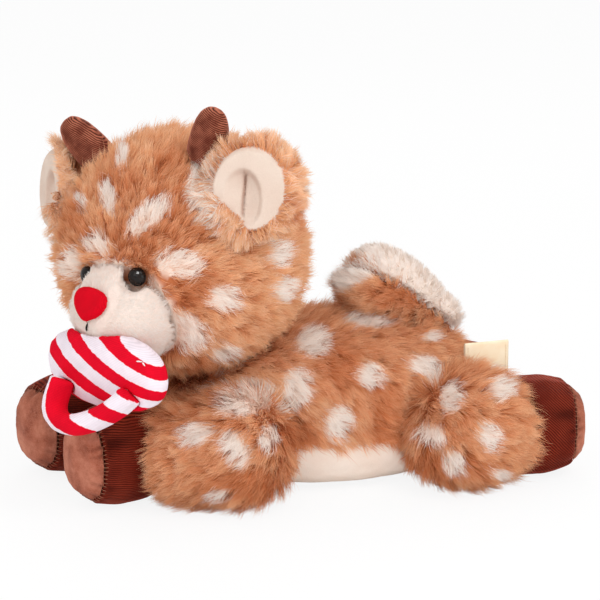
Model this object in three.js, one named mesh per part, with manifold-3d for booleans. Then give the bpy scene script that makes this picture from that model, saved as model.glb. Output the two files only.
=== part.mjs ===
// A plush deer lying on its belly, its head turned to its left, holding a striped pacifier.
// Millimetres, +Z up. The deer faces -X and its left side is -Y. The origin is under the middle of
// the toy's box, on the surface that it lies on. Long pile is modelled to the height at which a hand
// feels it; short pile to its face.
import * as THREE from "three";
import { mergeVertices } from "three/addons/utils/BufferGeometryUtils.js";
import Module from "manifold-3d";

const wasm = await Module();
wasm.setup();

// Driving dimensions, in millimetres and degrees.

// Clearances and small allowances.
const FIT = {
  seam: 0.3,
  socket: 0.35,
  swept: 0.9, // between the head and an ear that folds
  rest: 0.8, // how deep a soft form is cut flat where it lies on the surface
  overrun: 6,
};

const BODY = {
  length: 184,
  width: 105,
  height: 91,
  wall: 4, // fabric and the pile that stands on it
  chestReach: 78, // from the middle of the toy to the chest
  bellyRise: 29, // the belly panel's seam above the floor
  chestTaperShare: 0.93,
  rumpTaperShare: 1.05,
  fullness: 2.5,
  squareness: 2.2,
  baseSquareness: 4.4, // the underside is flatter than the back
};

const HEAD = {
  width: 138,
  depth: 132,
  height: 132,
  wall: 5,
  cheekShare: 0.04, // how much fuller the cheeks are than the crown
  forwardOfChest: -12, // the head's middle, from the chest's front
  leftOfMiddle: 5,
  nest: 25, // how deep the head sits in the shoulders
  turn: 38.5,
  nod: 3.9,
  tilt: 6.6,
};

const MUZZLE = { depth: 64, width: 60, height: 60, reach: 79.5, drop: 19 };

const NOSE = {
  width: 22,
  height: 18.7,
  puff: 3,
  depth: 9,
  rise: 6.3,
  tilt: -27, // its lower end stands further forward
  roll: -13, // its point is turned to the deer's right
  cheekAcrossShare: 0.98, // how far its sides bow out, and where it is widest
  cheekDownShare: 0.24,
  widestShare: 0.14,
};

const STITCH = { thickness: 1.3, length: 5.5, tuck: 3, lean: -28, sides: 3 };

const EYE = {
  diameter: 10,
  dome: 4.3,
  rim: 1,
  shank: 3.4,
  shankLength: 11,
  washer: 13,
  washerThickness: 1.4,
  apart: 34,
  rise: 1,
  seat: 55.5,
  out: 17, // degrees that an eye looks to its own side
  up: 6,
  socket: 15,
};

const EAR = {
  width: 46,
  height: 49,
  thickness: 17,
  dish: 6, // how deep the lining is cupped
  dishWidth: 30,
  dishHeight: 36,
  rootShare: 0.8, // of the ear's width, rolled where it goes into the head
  forward: 22,
  aside: 54.5,
  rise: 28,
  facing: [0.829, 0.518, 0.207],
  outward: [-0.537, 0.647, 0.538],
  fold: [-2, 22],
};

const HORN = {
  length: 39,
  width: 25,
  thickness: 22,
  fullness: 2.7,
  baseTaperShare: 1.06,
  tipTaperShare: 0.78,
  forward: 8,
  aside: 32,
  rise: 46.5,
  splay: { left: 26, right: 33 }, // soft horns, each set a little differently
  lean: { left: 6, right: 15 },
};

// Each leg turns about an upright axis at its shoulder or hip, where it is round.
const LEG = {
  wall: 4,
  cuffWidth: 60,
  cuffHeight: 61,
  cuffFullness: 3.2,
  cuffLap: 16, // how far back from the cuff's end the hoof's seam can be
};

const SHOULDER = { diameter: 66, height: 68 };

const HIP = { diameter: 77, height: 69 };

const HOOF = {
  length: 62,
  width: 50,
  height: 57,
  fullness: 2.9,
  squareness: 2.4,
  sole: 10, // how far the sole bulges past its seam
  heel: 38, // from the hoof's middle back to its end inside the cuff
};

// Where each leg is. along and aside are the shoulder's or hip's place from the body's middle.
const LEGS = {
  front_left: {
    side: -1,
    aims: 180,
    ball: SHOULDER,
    along: -46,
    aside: 51,
    point: -19,
    ankle: 38,
    reach: 69,
    cuff: 49,
  },
  front_right: {
    side: 1,
    aims: 180,
    ball: SHOULDER,
    along: -58,
    aside: 50,
    point: 12,
    ankle: 11,
    reach: 70,
    cuff: 50,
  },
  rear_left: {
    side: -1,
    aims: 0,
    ball: HIP,
    along: 85,
    aside: 51,
    point: 11,
    ankle: -15,
    reach: 51,
    cuff: 39,
  },
  rear_right: {
    side: 1,
    aims: 0,
    ball: HIP,
    along: 68,
    aside: 50,
    point: -6.7,
    ankle: 3,
    reach: 50,
    cuff: 38,
  },
};

const TAIL = {
  length: 66,
  width: 38,
  height: 42,
  fullness: 2.4,
  baseTaperShare: 0.74,
  tipTaperShare: 1.08,
  root: 13, // radius of the round root that sits in the rump
  ahead: 22, // of the rump's end
  sunk: 7, // below the rump's top
  lift: 33,
  split: 24, // degrees that the seam between fur and lining is turned from level
  raise: [0, 55],
};

const PACIFIER = {
  width: 80.5,
  height: 43,
  thickness: 23,
  fullness: 2.6,
  squareness: 2.3,
  forward: 75,
  drop: 44.3,
  aside: 3.5,
  roll: -9, // its right end hangs lower, seen from in front
  lean: -4,
};

const RING = {
  width: 42, // between the middles of its two limbs
  drop: 30, // from the shield's middle to the middle of its lowest turn
  band: 17.5,
  thickness: 12,
  aside: -3.5,
  lean: 22, // degrees that the ring stands away from the shield
  steps: 18,
  sides: 5,
};

// The middle of the ring's band, from its left end to its right: across as shares of its width and
// down as shares of its drop.
const RING_PATH_SHARES = [
  [-0.41, 0.26],
  [-0.435, 0.5],
  [-0.43, 0.76],
  [-0.33, 0.95],
  [-0.115, 1],
  [0.17, 0.86],
  [0.42, 0.63],
  [0.58, 0.42],
  [0.67, 0.24],
];

const MAGNET = { diameter: 12, thickness: 3, depth: 8, behind: 5, rise: 8.3 };

const TAG = {
  width: 27,
  height: 20,
  ply: 0.5,
  fold: 2.2, // across the folded ribbon
  along: 19,
  aside: 19,
  sunk: 12.5,
  turn: 4,
};

// How many facets go round a limb, and round the hidden inside of a skin.
const FACETS = { limb: 14, inside: 8 };

// Colours and finish, as the fabrics show them.
const cloth = (color, roughness) => new THREE.MeshStandardMaterial({ color, roughness, metalness: 0 });
const MATERIAL = {
  fur: () => cloth(0xb97f52, 0.9),
  cream: () => cloth(0xf2e6d6, 0.85),
  hoof: () => cloth(0x5a2418, 0.6),
  sole: () => cloth(0x8a5540, 0.8),
  horn: () => cloth(0x6a2b1c, 0.65),
  red: () => cloth(0xd2112f, 0.75),
  stripe: () => cloth(0xe9a5ae, 0.75),
  eye: () => cloth(0x0c0a0a, 0.08),
  plastic: () => cloth(0xe8e4da, 0.4),
  filling: () => cloth(0xf7f5f0, 1),
  magnet: () => new THREE.MeshStandardMaterial({ color: 0xb9bcc0, roughness: 0.3, metalness: 0.9 }),
  thread: () => cloth(0x15110f, 0.7),
  tag: () => cloth(0xf6deb4, 0.45),
};

const radians = THREE.MathUtils.degToRad;

// Shapes.

// A closed geometry as a solid that can be joined and cut.
function solidOf(geometry) {
  const bare = new THREE.BufferGeometry();
  const from = geometry.index ? geometry.toNonIndexed() : geometry;
  bare.setAttribute("position", from.getAttribute("position"));
  const merged = mergeVertices(bare, 1e-4);
  return new wasm.Manifold(
    new wasm.Mesh({
      numProp: 3,
      vertProperties: new Float32Array(merged.attributes.position.array),
      triVerts: new Uint32Array(merged.index.array),
    }),
  );
}

// A solid as a geometry to draw.
function geometryOf(solid) {
  const { numProp, vertProperties, triVerts, numVert } = solid.getMesh();
  const position = new Float32Array(numVert * 3);
  for (let i = 0; i < numVert; i++) {
    position.set(vertProperties.subarray(i * numProp, i * numProp + 3), i * 3);
  }
  const geometry = new THREE.BufferGeometry();
  geometry.setAttribute("position", new THREE.BufferAttribute(position, 3));
  geometry.setIndex(new THREE.BufferAttribute(triVerts, 1));
  geometry.computeVertexNormals();
  return geometry;
}

// A point of a superellipse at an angle, with radii of 1.
function rounded(angle, squareness) {
  const c = Math.cos(angle);
  const s = Math.sin(angle);
  const power = 2 / squareness;
  return [Math.sign(c) * Math.abs(c) ** power, Math.sign(s) * Math.abs(s) ** power];
}

// A stuffed form along +X from 0 to its length: elliptical rings that swell from one closed end to
// the other. fullness 2 is an ellipsoid, and more is blunter.
function stuffed(size) {
  const { length, width, height, fullness = 2, squareness = 2, start = 1, end = 1 } = size;
  const { baseSquareness = squareness, rings = 12, sides = 20 } = size;
  const position = [0, 0, 0];
  for (let i = 1; i < rings; i++) {
    const t = (1 - Math.cos((Math.PI * i) / rings)) / 2;
    const swell = (1 - Math.abs(2 * t - 1) ** fullness) ** (1 / fullness);
    const taper = swell * (start + (end - start) * t);
    for (let j = 0; j < sides; j++) {
      const angle = (2 * Math.PI * j) / sides;
      const [y, z] = rounded(angle, angle > Math.PI ? baseSquareness : squareness);
      position.push(length * t, (taper * y * width) / 2, (taper * z * height) / 2);
    }
  }
  position.push(length, 0, 0);
  return new THREE.BufferGeometry()
    .setAttribute("position", new THREE.Float32BufferAttribute(position, 3))
    .setIndex(ringFaces(rings, sides));
}

// The faces of rings of points between two single end points.
function ringFaces(rings, sides) {
  const at = (ring, side) => 1 + (ring - 1) * sides + (side % sides);
  const last = 1 + (rings - 1) * sides;
  const faces = [];
  for (let j = 0; j < sides; j++) {
    faces.push(0, at(1, j + 1), at(1, j));
    faces.push(last, at(rings - 1, j), at(rings - 1, j + 1));
    for (let i = 1; i < rings - 1; i++) {
      faces.push(at(i, j), at(i, j + 1), at(i + 1, j));
      faces.push(at(i, j + 1), at(i + 1, j + 1), at(i + 1, j));
    }
  }
  return faces;
}

// A solid of revolution about Z with rounded poles: radius and half height, fuller below the middle.
function round(radius, half, cheekShare, steps, sides) {
  const outline = [];
  for (let i = 0; i <= steps; i++) {
    const angle = -Math.PI / 2 + (Math.PI * i) / steps;
    const level = Math.sin(angle);
    const swell = 1 - cheekShare * level * Math.abs(level);
    const across = i === 0 || i === steps ? 0 : radius * Math.cos(angle) * swell;
    outline.push(new THREE.Vector2(across, half * level));
  }
  return new THREE.LatheGeometry(outline, sides).rotateX(Math.PI / 2);
}

function cylinder(radius, length, sides) {
  return new THREE.CylinderGeometry(radius, radius, length, sides);
}

function ellipsoid(x, y, z, around, up) {
  return new THREE.SphereGeometry(1, around, up).scale(x / 2, y / 2, z / 2);
}

// Placing.

const root = new THREE.Group();

function group(parent, name, [x, y, z], [rx, ry, rz] = [0, 0, 0]) {
  const made = new THREE.Group();
  made.name = name;
  made.position.set(x, y, z);
  made.rotation.set(radians(rx), radians(ry), radians(rz), "ZYX");
  parent.add(made);
  made.updateWorldMatrix(true, false);
  return made;
}

const toWorld = (solid, holder) => solid.transform(holder.matrixWorld.elements);

const toLocal = (solid, holder) => solid.transform(holder.matrixWorld.clone().invert().elements);

// What is left of a solid above the surface that the toy lies on.
function onFloor(solid, holder) {
  return toLocal(toWorld(solid, holder).trimByPlane([0, 0, 1], 0), holder);
}

function add(holder, name, solid, material) {
  const mesh = new THREE.Mesh(geometryOf(solid), material);
  mesh.name = name;
  holder.add(mesh);
}

// A solid less an obstacle, wherever a hinge along a holder's own axis carries the solid.
function clearOf(solid, obstacle, [low, high], turned) {
  const stops = low === high ? [low] : [low, (low + high) / 2, high];
  return stops.reduce((left, stop) => left.subtract(turned(obstacle, -stop)), solid);
}

const turnedAboutY = (solid, angle) => solid.rotate([0, angle, 0]);

// Where the body and the head are.

const floorSink = FIT.rest;
const chestX = -BODY.chestReach;
const bodyMiddle = BODY.height / 2 - floorSink;
const bodyHolder = group(root, "body", [chestX, 0, bodyMiddle]);
const headHolder = group(
  root,
  "head",
  [chestX - HEAD.forwardOfChest, -HEAD.leftOfMiddle, BODY.height + HEAD.height / 2 - HEAD.nest],
  [HEAD.tilt, HEAD.nod, 180 + HEAD.turn],
);

// Legs.

const legs = Object.entries(LEGS).map(([name, size]) => {
  const leg = { name, ...size };
  const { ball } = leg;
  const holder = group(
    root,
    `${leg.name}_leg`,
    [leg.along, leg.side * leg.aside, ball.height / 2 - FIT.rest],
    [0, 0, leg.aims + leg.point],
  );
  const hoofHolder = group(
    holder,
    `${leg.name}_hoof`,
    [leg.reach, 0, HOOF.height / 2 - ball.height / 2],
    [0, 0, leg.ankle],
  );
  return { ...leg, holder, hoofHolder };
});

// The round top of a leg and the furry sleeve that runs from it to the cuff, less inset all over.
// spare widens the round top, for a socket that its corners clear as it turns.
function sleeveForm(leg, inset, around = FACETS.limb, spare = 1) {
  const radius = (leg.ball.diameter / 2 - inset) * spare;
  const ball = round(radius, leg.ball.height / 2 - inset, 0, around / 2, around);
  const arm = stuffed({
    length: leg.cuff + leg.ball.diameter / 4 - 2 * inset,
    width: LEG.cuffWidth - 2 * inset,
    height: LEG.cuffHeight - 2 * inset,
    fullness: LEG.cuffFullness,
    rings: 6,
    sides: around,
  });
  arm.translate(inset - leg.ball.diameter / 4, 0, LEG.cuffHeight / 2 - leg.ball.height / 2);
  return solidOf(ball).add(solidOf(arm));
}

// The hoof's outer form in the hoof's frame, less inset all over.
function hoofForm(inset, around = FACETS.limb) {
  const form = stuffed({
    length: HOOF.length - 2 * inset,
    width: HOOF.width - 2 * inset,
    height: HOOF.height - 2 * inset,
    fullness: HOOF.fullness,
    squareness: HOOF.squareness,
    rings: FACETS.limb / 2,
    sides: around,
  });
  return solidOf(form.translate(inset - HOOF.heel, 0, 0));
}

// A hoof solid in its leg's frame.
function inLeg(leg, hoof) {
  leg.hoofHolder.updateMatrix();
  return hoof.transform(leg.hoofHolder.matrix.elements);
}

const toHoof = (leg, solid) => solid.transform(leg.hoofHolder.matrix.clone().invert().elements);

function buildLeg(leg) {
  const { holder, hoofHolder, name } = leg;
  const seamX = HOOF.length - HOOF.heel - HOOF.sole;
  const hoofHollow = inLeg(leg, hoofForm(LEG.wall, FACETS.inside));
  const hollow = sleeveForm(leg, LEG.wall, FACETS.inside).add(hoofHollow);
  const fillingInset = LEG.wall + 2 * FIT.seam;
  const filling = sleeveForm(leg, fillingInset, FACETS.inside).add(
    inLeg(leg, hoofForm(fillingInset, FACETS.inside).trimByPlane([-1, 0, 0], 2 * FIT.seam - seamX)),
  );
  const sleeve = onFloor(sleeveForm(leg, 0), holder).subtract(hollow);
  const hoof = onFloor(hoofForm(0), hoofHolder);
  const behind = LEG.cuffLap - leg.cuff;
  const outside = toHoof(leg, inLeg(leg, hoof).trimByPlane([1, 0, 0], -behind));
  const side = outside
    .trimByPlane([-1, 0, 0], FIT.seam - seamX)
    .subtract(toHoof(leg, sleeveForm(leg, -FIT.seam)))
    .subtract(toHoof(leg, hollow));
  const sole = hoof.trimByPlane([1, 0, 0], seamX);
  add(holder, `${name}_leg_fur`, largest(sleeve), MATERIAL.fur());
  add(holder, `${name}_leg_filling`, largest(onFloor(filling, holder)), MATERIAL.filling());
  add(hoofHolder, `${name}_hoof_side`, largest(side), MATERIAL.hoof());
  add(hoofHolder, `${name}_hoof_sole`, largest(sole), MATERIAL.sole());
}

// A cut can leave slivers beside the piece itself.
function largest(solid) {
  return solid.decompose().reduce((a, b) => (a.volume() > b.volume() ? a : b));
}

// Body.

// The body's outer form in its own frame, less inset all over.
function bodyForm(inset, rings = 11, sides = 18) {
  const form = stuffed({
    length: BODY.length - 2 * inset,
    width: BODY.width - 2 * inset,
    height: BODY.height - 2 * inset,
    fullness: BODY.fullness,
    squareness: BODY.squareness,
    baseSquareness: BODY.baseSquareness,
    start: BODY.chestTaperShare,
    end: BODY.rumpTaperShare,
    rings,
    sides,
  });
  return solidOf(form.translate(inset, 0, 0));
}

// The space that the head fills as it turns on its own upright axis.
function headSpace(grow) {
  const radius = HEAD.width / 2 + grow;
  return solidOf(round(radius, HEAD.height / 2 + grow, HEAD.cheekShare, 12, 24));
}

const tailHolder = group(
  root,
  "tail",
  [chestX + BODY.length - TAIL.ahead, 0, BODY.height - TAIL.sunk],
  [0, 180 + TAIL.lift, 0],
);

// A round of so many facets turns inside one of this much larger radius.
const socketSpare = 1 / Math.cos(Math.PI / FACETS.limb);

// Everything that sits in the body, grown by a clearance, in the body's frame.
function bodyCuts(grow) {
  const across = 2 * (TAIL.root + grow);
  const rootBall = solidOf(ellipsoid(across, across, across, 16, 10));
  const cuts = [toWorld(headSpace(grow), headHolder), toWorld(rootBall, tailHolder)];
  for (const leg of legs) {
    cuts.push(toWorld(sleeveForm(leg, -grow, FACETS.limb, socketSpare), leg.holder));
    cuts.push(toWorld(hoofForm(-grow), leg.hoofHolder));
  }
  return cuts.map((cut) => toLocal(cut, bodyHolder));
}

function lessAll(solid, cuts) {
  return cuts.reduce((left, cut) => left.subtract(cut), solid);
}

function buildBody() {
  const outer = lessAll(onFloor(bodyForm(0), bodyHolder), bodyCuts(FIT.socket));
  const hollow = lessAll(bodyForm(BODY.wall, 8, FACETS.inside), bodyCuts(FIT.socket + BODY.wall));
  const inner = BODY.wall + FIT.seam;
  const filling = lessAll(bodyForm(inner, 8, FACETS.inside), bodyCuts(FIT.socket + inner));
  const skin = outer.subtract(hollow);
  const seam = BODY.bellyRise - bodyMiddle;
  const fur = skin.trimByPlane([0, 0, 1], seam + FIT.seam / 2);
  const belly = skin.trimByPlane([0, 0, -1], FIT.seam / 2 - seam);
  add(bodyHolder, "body_fur", largest(fur), MATERIAL.fur());
  add(bodyHolder, "belly_panel", largest(belly), MATERIAL.cream());
  add(bodyHolder, "body_filling", largest(filling), MATERIAL.filling());
}

// Tail.

function buildTail() {
  const form = stuffed({
    length: TAIL.length,
    width: TAIL.width,
    height: TAIL.height,
    fullness: TAIL.fullness,
    start: TAIL.baseTaperShare,
    end: TAIL.tipTaperShare,
    rings: 9,
    sides: 16,
  });
  const ball = solidOf(ellipsoid(2 * TAIL.root, 2 * TAIL.root, 2 * TAIL.root, 16, 10));
  const body = toLocal(toWorld(bodyForm(-FIT.socket), bodyHolder), tailHolder);
  const pad = clearOf(
    solidOf(form.translate(-TAIL.root / 2, 0, 0)),
    body,
    TAIL.raise,
    turnedAboutY,
  ).add(ball);
  const tilt = radians(TAIL.split);
  const up = [0, Math.sin(tilt), -Math.cos(tilt)];
  const down = up.map((value) => -value);
  add(tailHolder, "tail_lining", largest(pad.trimByPlane(up, FIT.seam / 2)), MATERIAL.cream());
  add(tailHolder, "tail_fur", largest(pad.trimByPlane(down, FIT.seam / 2)), MATERIAL.fur());
}

// Head. Its frame has +X out through the nose, +Y to the deer's left and +Z up.

function headForm(inset, steps = 12, sides = 24) {
  const form = round(HEAD.width / 2 - inset, HEAD.height / 2 - inset, HEAD.cheekShare, steps, sides);
  return solidOf(form.scale((HEAD.depth - 2 * inset) / (HEAD.width - 2 * inset), 1, 1));
}

function muzzleForm(grow) {
  const more = 2 * grow;
  const form = ellipsoid(MUZZLE.depth + more, MUZZLE.width + more, MUZZLE.height + more, 16, 10);
  return solidOf(form.translate(MUZZLE.reach - MUZZLE.depth / 2, 0, -MUZZLE.drop));
}

// The height of the muzzle's surface above its own middle plane at a place across and above it.
function muzzleReach(y, z) {
  const across = (2 * y) / MUZZLE.width;
  const above = (2 * (z + MUZZLE.drop)) / MUZZLE.height;
  return MUZZLE.reach - MUZZLE.depth / 2 + (MUZZLE.depth / 2) * Math.sqrt(1 - across ** 2 - above ** 2);
}

const eyeHolders = [1, -1].map((side) =>
  group(
    headHolder,
    side > 0 ? "eye_left_seat" : "eye_right_seat",
    [EYE.seat, (side * EYE.apart) / 2, EYE.rise],
    [0, -EYE.up, side * EYE.out],
  ),
);

// A cylinder along the eye's own axis, from one distance out to another.
function alongEye(radius, from, to, sides) {
  const form = cylinder(radius, to - from, sides).rotateZ(Math.PI / 2);
  return solidOf(form.translate((from + to) / 2, 0, 0));
}

function inHead(solid, holder) {
  holder.updateMatrix();
  return solid.transform(holder.matrix.elements);
}

const earHolders = [1, -1].map((side) => {
  const facing = new THREE.Vector3(...EAR.facing).multiply(new THREE.Vector3(1, side, 1)).normalize();
  const outward = new THREE.Vector3(...EAR.outward).multiply(new THREE.Vector3(1, side, 1));
  const across = new THREE.Vector3().crossVectors(outward, facing).normalize();
  const up = new THREE.Vector3().crossVectors(facing, across);
  const name = side > 0 ? "ear_left" : "ear_right";
  const holder = group(headHolder, name, [EAR.forward, side * EAR.aside, EAR.rise]);
  holder.quaternion.setFromRotationMatrix(new THREE.Matrix4().makeBasis(facing, across, up));
  holder.updateWorldMatrix(true, false);
  return holder;
});

// The rolled root of an ear, round about the line on which the ear folds.
function earRoot(grow) {
  const across = EAR.thickness + 2 * grow;
  return solidOf(ellipsoid(across, EAR.width * EAR.rootShare + 2 * grow, across, 12, 8));
}

function buildEar(holder, name) {
  const middle = EAR.height / 2 - EAR.thickness / 3;
  const disc = solidOf(
    ellipsoid(EAR.thickness, EAR.width, EAR.height, 18, 10).translate(0, 0, middle),
  );
  holder.updateMatrix();
  const head = headForm(-FIT.swept).transform(holder.matrix.clone().invert().elements);
  const keep = head.subtract(earRoot(0));
  const ear = clearOf(disc.add(earRoot(0)), keep, EAR.fold, turnedAboutY);
  const dish = solidOf(
    ellipsoid(2 * EAR.dish, EAR.dishWidth, EAR.dishHeight, 14, 8).translate(
      EAR.thickness / 2,
      0,
      middle,
    ),
  );
  const lining = ear.trimByPlane([1, 0, 0], FIT.seam / 2).subtract(dish);
  const back = ear.trimByPlane([-1, 0, 0], FIT.seam / 2);
  add(holder, `${name}_lining`, largest(lining), MATERIAL.cream());
  add(holder, `${name}_back`, largest(back), MATERIAL.fur());
}

function buildHead() {
  const muzzle = muzzleForm(0);
  const hollow = headForm(HEAD.wall, 8, 14);
  const eyes = eyeHolders.map((holder) =>
    inHead(alongEye(EYE.socket / 2, 0, EYE.seat / 2, 14), holder),
  );
  const shanks = eyeHolders.map((holder) =>
    inHead(alongEye(EYE.shank / 2 + FIT.seam, -EYE.seat / 2, FIT.overrun, 10), holder),
  );
  const washers = eyeHolders.map((holder) =>
    inHead(
      alongEye(
        EYE.washer / 2 + FIT.seam,
        -EYE.shankLength - FIT.seam,
        FIT.seam - EYE.shankLength + EYE.washerThickness + EYE.washerThickness,
        16,
      ),
      holder,
    ),
  );
  const roots = earHolders.map((holder) => {
    holder.updateMatrix();
    return earRoot(FIT.swept).transform(holder.matrix.elements);
  });
  const cuts = [muzzleForm(FIT.seam), ...eyes, ...shanks, ...washers, ...roots];
  const fur = lessAll(headForm(0), cuts).subtract(hollow);
  const inner = headForm(HEAD.wall + FIT.seam, 8, 14);
  const filling = lessAll(inner, [...eyes, ...shanks, ...washers, ...roots]);
  const magnet = magnetSolid(muzzleMagnetX, FIT.seam, MUZZLE.depth);
  const pad = lessAll(muzzle, [headForm(HEAD.wall, 8, 14), ...eyes, ...shanks, ...washers, magnet]);
  add(headHolder, "head_fur", largest(fur), MATERIAL.fur());
  add(headHolder, "head_filling", largest(filling), MATERIAL.filling());
  add(headHolder, "muzzle", largest(pad), MATERIAL.cream());
  add(headHolder, "muzzle_magnet", magnetSolid(muzzleMagnetX, 0), MATERIAL.magnet());
}

// A disc magnet in the head's frame with its middle at x, or its pocket, which is open to the back.
function magnetSolid(x, grow, pocket = 0) {
  const length = MAGNET.thickness + 2 * grow + pocket;
  const form = cylinder(MAGNET.diameter / 2 + grow, length, 16).rotateZ(Math.PI / 2);
  return solidOf(form.translate(x - pocket / 2, 0, -PACIFIER.drop + MAGNET.rise));
}

// The muzzle's magnet lies behind its cloth.
const muzzleMagnetX = muzzleReach(0, -PACIFIER.drop + MAGNET.rise) - MAGNET.depth;

function buildEye(holder, name) {
  const radius = EYE.diameter / 2;
  const outline = [[0, 0], [radius, 0], [radius, EYE.rim]].map((point) => new THREE.Vector2(...point));
  const steps = 4;
  for (let i = 1; i <= steps; i++) {
    const angle = (Math.PI * i) / (2 * steps);
    const across = i === steps ? 0 : radius * Math.cos(angle);
    outline.push(new THREE.Vector2(across, EYE.rim + (EYE.dome - EYE.rim) * Math.sin(angle)));
  }
  const dome = solidOf(new THREE.LatheGeometry(outline, 16).rotateZ(-Math.PI / 2));
  const shank = alongEye(EYE.shank / 2, -EYE.shankLength - FIT.overrun / 2, FIT.seam, 10);
  add(holder, `eye_${name}`, dome.add(shank).translate([FIT.seam, 0, 0]), MATERIAL.eye());
  const washer = alongEye(EYE.washer / 2, -EYE.shankLength, EYE.washerThickness - EYE.shankLength, 16);
  const bore = alongEye(EYE.shank / 2 + FIT.seam, -EYE.seat, 0, 10);
  add(holder, `eye_washer_${name}`, washer.subtract(bore), MATERIAL.plastic());
}

// A padded rounded triangle, wide at the top.
function buildNose() {
  const half = NOSE.width / 2;
  const shape = new THREE.Shape();
  shape.moveTo(0, -NOSE.height / 2);
  const across = half * NOSE.cheekAcrossShare;
  const down = -NOSE.height * NOSE.cheekDownShare;
  const widest = NOSE.height * NOSE.widestShare;
  shape.quadraticCurveTo(across, down, half, widest);
  shape.quadraticCurveTo(half, NOSE.height / 2, 0, NOSE.height / 2);
  shape.quadraticCurveTo(-half, NOSE.height / 2, -half, widest);
  shape.quadraticCurveTo(-across, down, 0, -NOSE.height / 2);
  const form = new THREE.ExtrudeGeometry(shape, {
    depth: NOSE.depth,
    bevelThickness: NOSE.puff,
    bevelSize: NOSE.puff,
    bevelOffset: -NOSE.puff,
    bevelSegments: 3,
    curveSegments: 5,
  });
  form.rotateX(Math.PI / 2).rotateZ(Math.PI / 2);
  form.rotateX(radians(NOSE.roll)).rotateY(radians(NOSE.tilt));
  const z = NOSE.rise - MUZZLE.drop;
  form.translate(muzzleReach(0, z) - NOSE.depth, 0, z);
  const nose = lessAll(solidOf(form), [muzzleForm(FIT.seam), stitchForm(FIT.seam)]);
  add(headHolder, "nose", largest(nose), MATERIAL.red());
}

// The mouth's thread runs down the muzzle from the nose's point.
function stitchForm(grow) {
  const middle = NOSE.rise - MUZZLE.drop;
  const upright = Math.cos(radians(NOSE.tilt)) * Math.cos(radians(NOSE.roll));
  const foot = (NOSE.height / 2) * upright - STITCH.tuck;
  const start = foot * Math.tan(radians(NOSE.roll));
  const lift = STITCH.thickness / 2 + 2 * FIT.seam;
  const points = [0, 1 / 3, 2 / 3, 1].map((share) => {
    const down = share * STITCH.length;
    const z = middle - foot - down;
    const y = start + down * Math.tan(radians(STITCH.lean));
    return new THREE.Vector3(muzzleReach(y, z) + lift, y, z);
  });
  const section = new THREE.Shape();
  section.absarc(0, 0, STITCH.thickness / 2 + grow, 0, 2 * Math.PI);
  const form = new THREE.ExtrudeGeometry(section, {
    steps: 5,
    curveSegments: STITCH.sides,
    extrudePath: new THREE.CatmullRomCurve3(points),
  });
  return solidOf(form);
}

function buildHorn(side, name) {
  const holder = group(
    headHolder,
    `horn_${name}_base`,
    [HORN.forward, side * HORN.aside, HORN.rise],
    [-side * HORN.splay[name], HORN.lean[name], 0],
  );
  const form = stuffed({
    length: HORN.length,
    width: HORN.width,
    height: HORN.thickness,
    fullness: HORN.fullness,
    start: HORN.baseTaperShare,
    end: HORN.tipTaperShare,
    rings: 9,
    sides: 14,
  });
  const horn = solidOf(form.rotateY(-Math.PI / 2));
  holder.updateMatrix();
  const head = headForm(-FIT.seam).transform(holder.matrix.clone().invert().elements);
  add(holder, `horn_${name}`, largest(horn.subtract(head)), MATERIAL.horn());
}

// Pacifier. Its frame has +X away from the mouth.

function buildPacifier() {
  const holder = group(
    headHolder,
    "pacifier",
    [PACIFIER.forward, PACIFIER.aside, -PACIFIER.drop],
    [PACIFIER.roll, PACIFIER.lean, 0],
  );
  const shield = stuffed({
    length: PACIFIER.thickness,
    width: PACIFIER.width,
    height: PACIFIER.height,
    fullness: PACIFIER.fullness,
    squareness: PACIFIER.squareness,
    rings: 7,
    sides: 20,
  }).translate(-PACIFIER.thickness / 2, 0, 0);
  holder.updateMatrix();
  const inverse = holder.matrix.clone().invert().elements;
  const magnetX = muzzleMagnetX + MAGNET.depth + MAGNET.behind;
  const behind = muzzleForm(FIT.seam)
    .add(headForm(-FIT.seam))
    .add(stitchForm(FIT.seam))
    .add(magnetSolid(magnetX, FIT.seam, MAGNET.depth))
    .transform(inverse);
  const pad = largest(solidOf(shield).subtract(behind));
  add(headHolder, "pacifier_magnet", magnetSolid(magnetX, 0), MATERIAL.magnet());
  add(holder, "pacifier_shield", pad.subtract(ringForm(FIT.seam)), MATERIAL.stripe());
  add(holder, "pacifier_ring", largest(ringForm(0)), MATERIAL.stripe());
}

// A stuffed loop that hangs from the shield's face, one limb upright and the other slanting.
function ringForm(grow) {
  const points = RING_PATH_SHARES.map(
    ([across, down]) => new THREE.Vector3(0, across * RING.width, -down * RING.drop),
  );
  const section = new THREE.Shape();
  section.absellipse(0, 0, RING.band / 2 + grow, RING.thickness / 2 + grow, 0, 2 * Math.PI);
  const form = new THREE.ExtrudeGeometry(section, {
    steps: RING.steps,
    curveSegments: RING.sides,
    extrudePath: new THREE.CatmullRomCurve3(points),
  });
  form.rotateY(radians(-RING.lean));
  form.translate(PACIFIER.thickness / 2 - RING.thickness / 4, RING.aside, 0);
  return solidOf(form);
}

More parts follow.
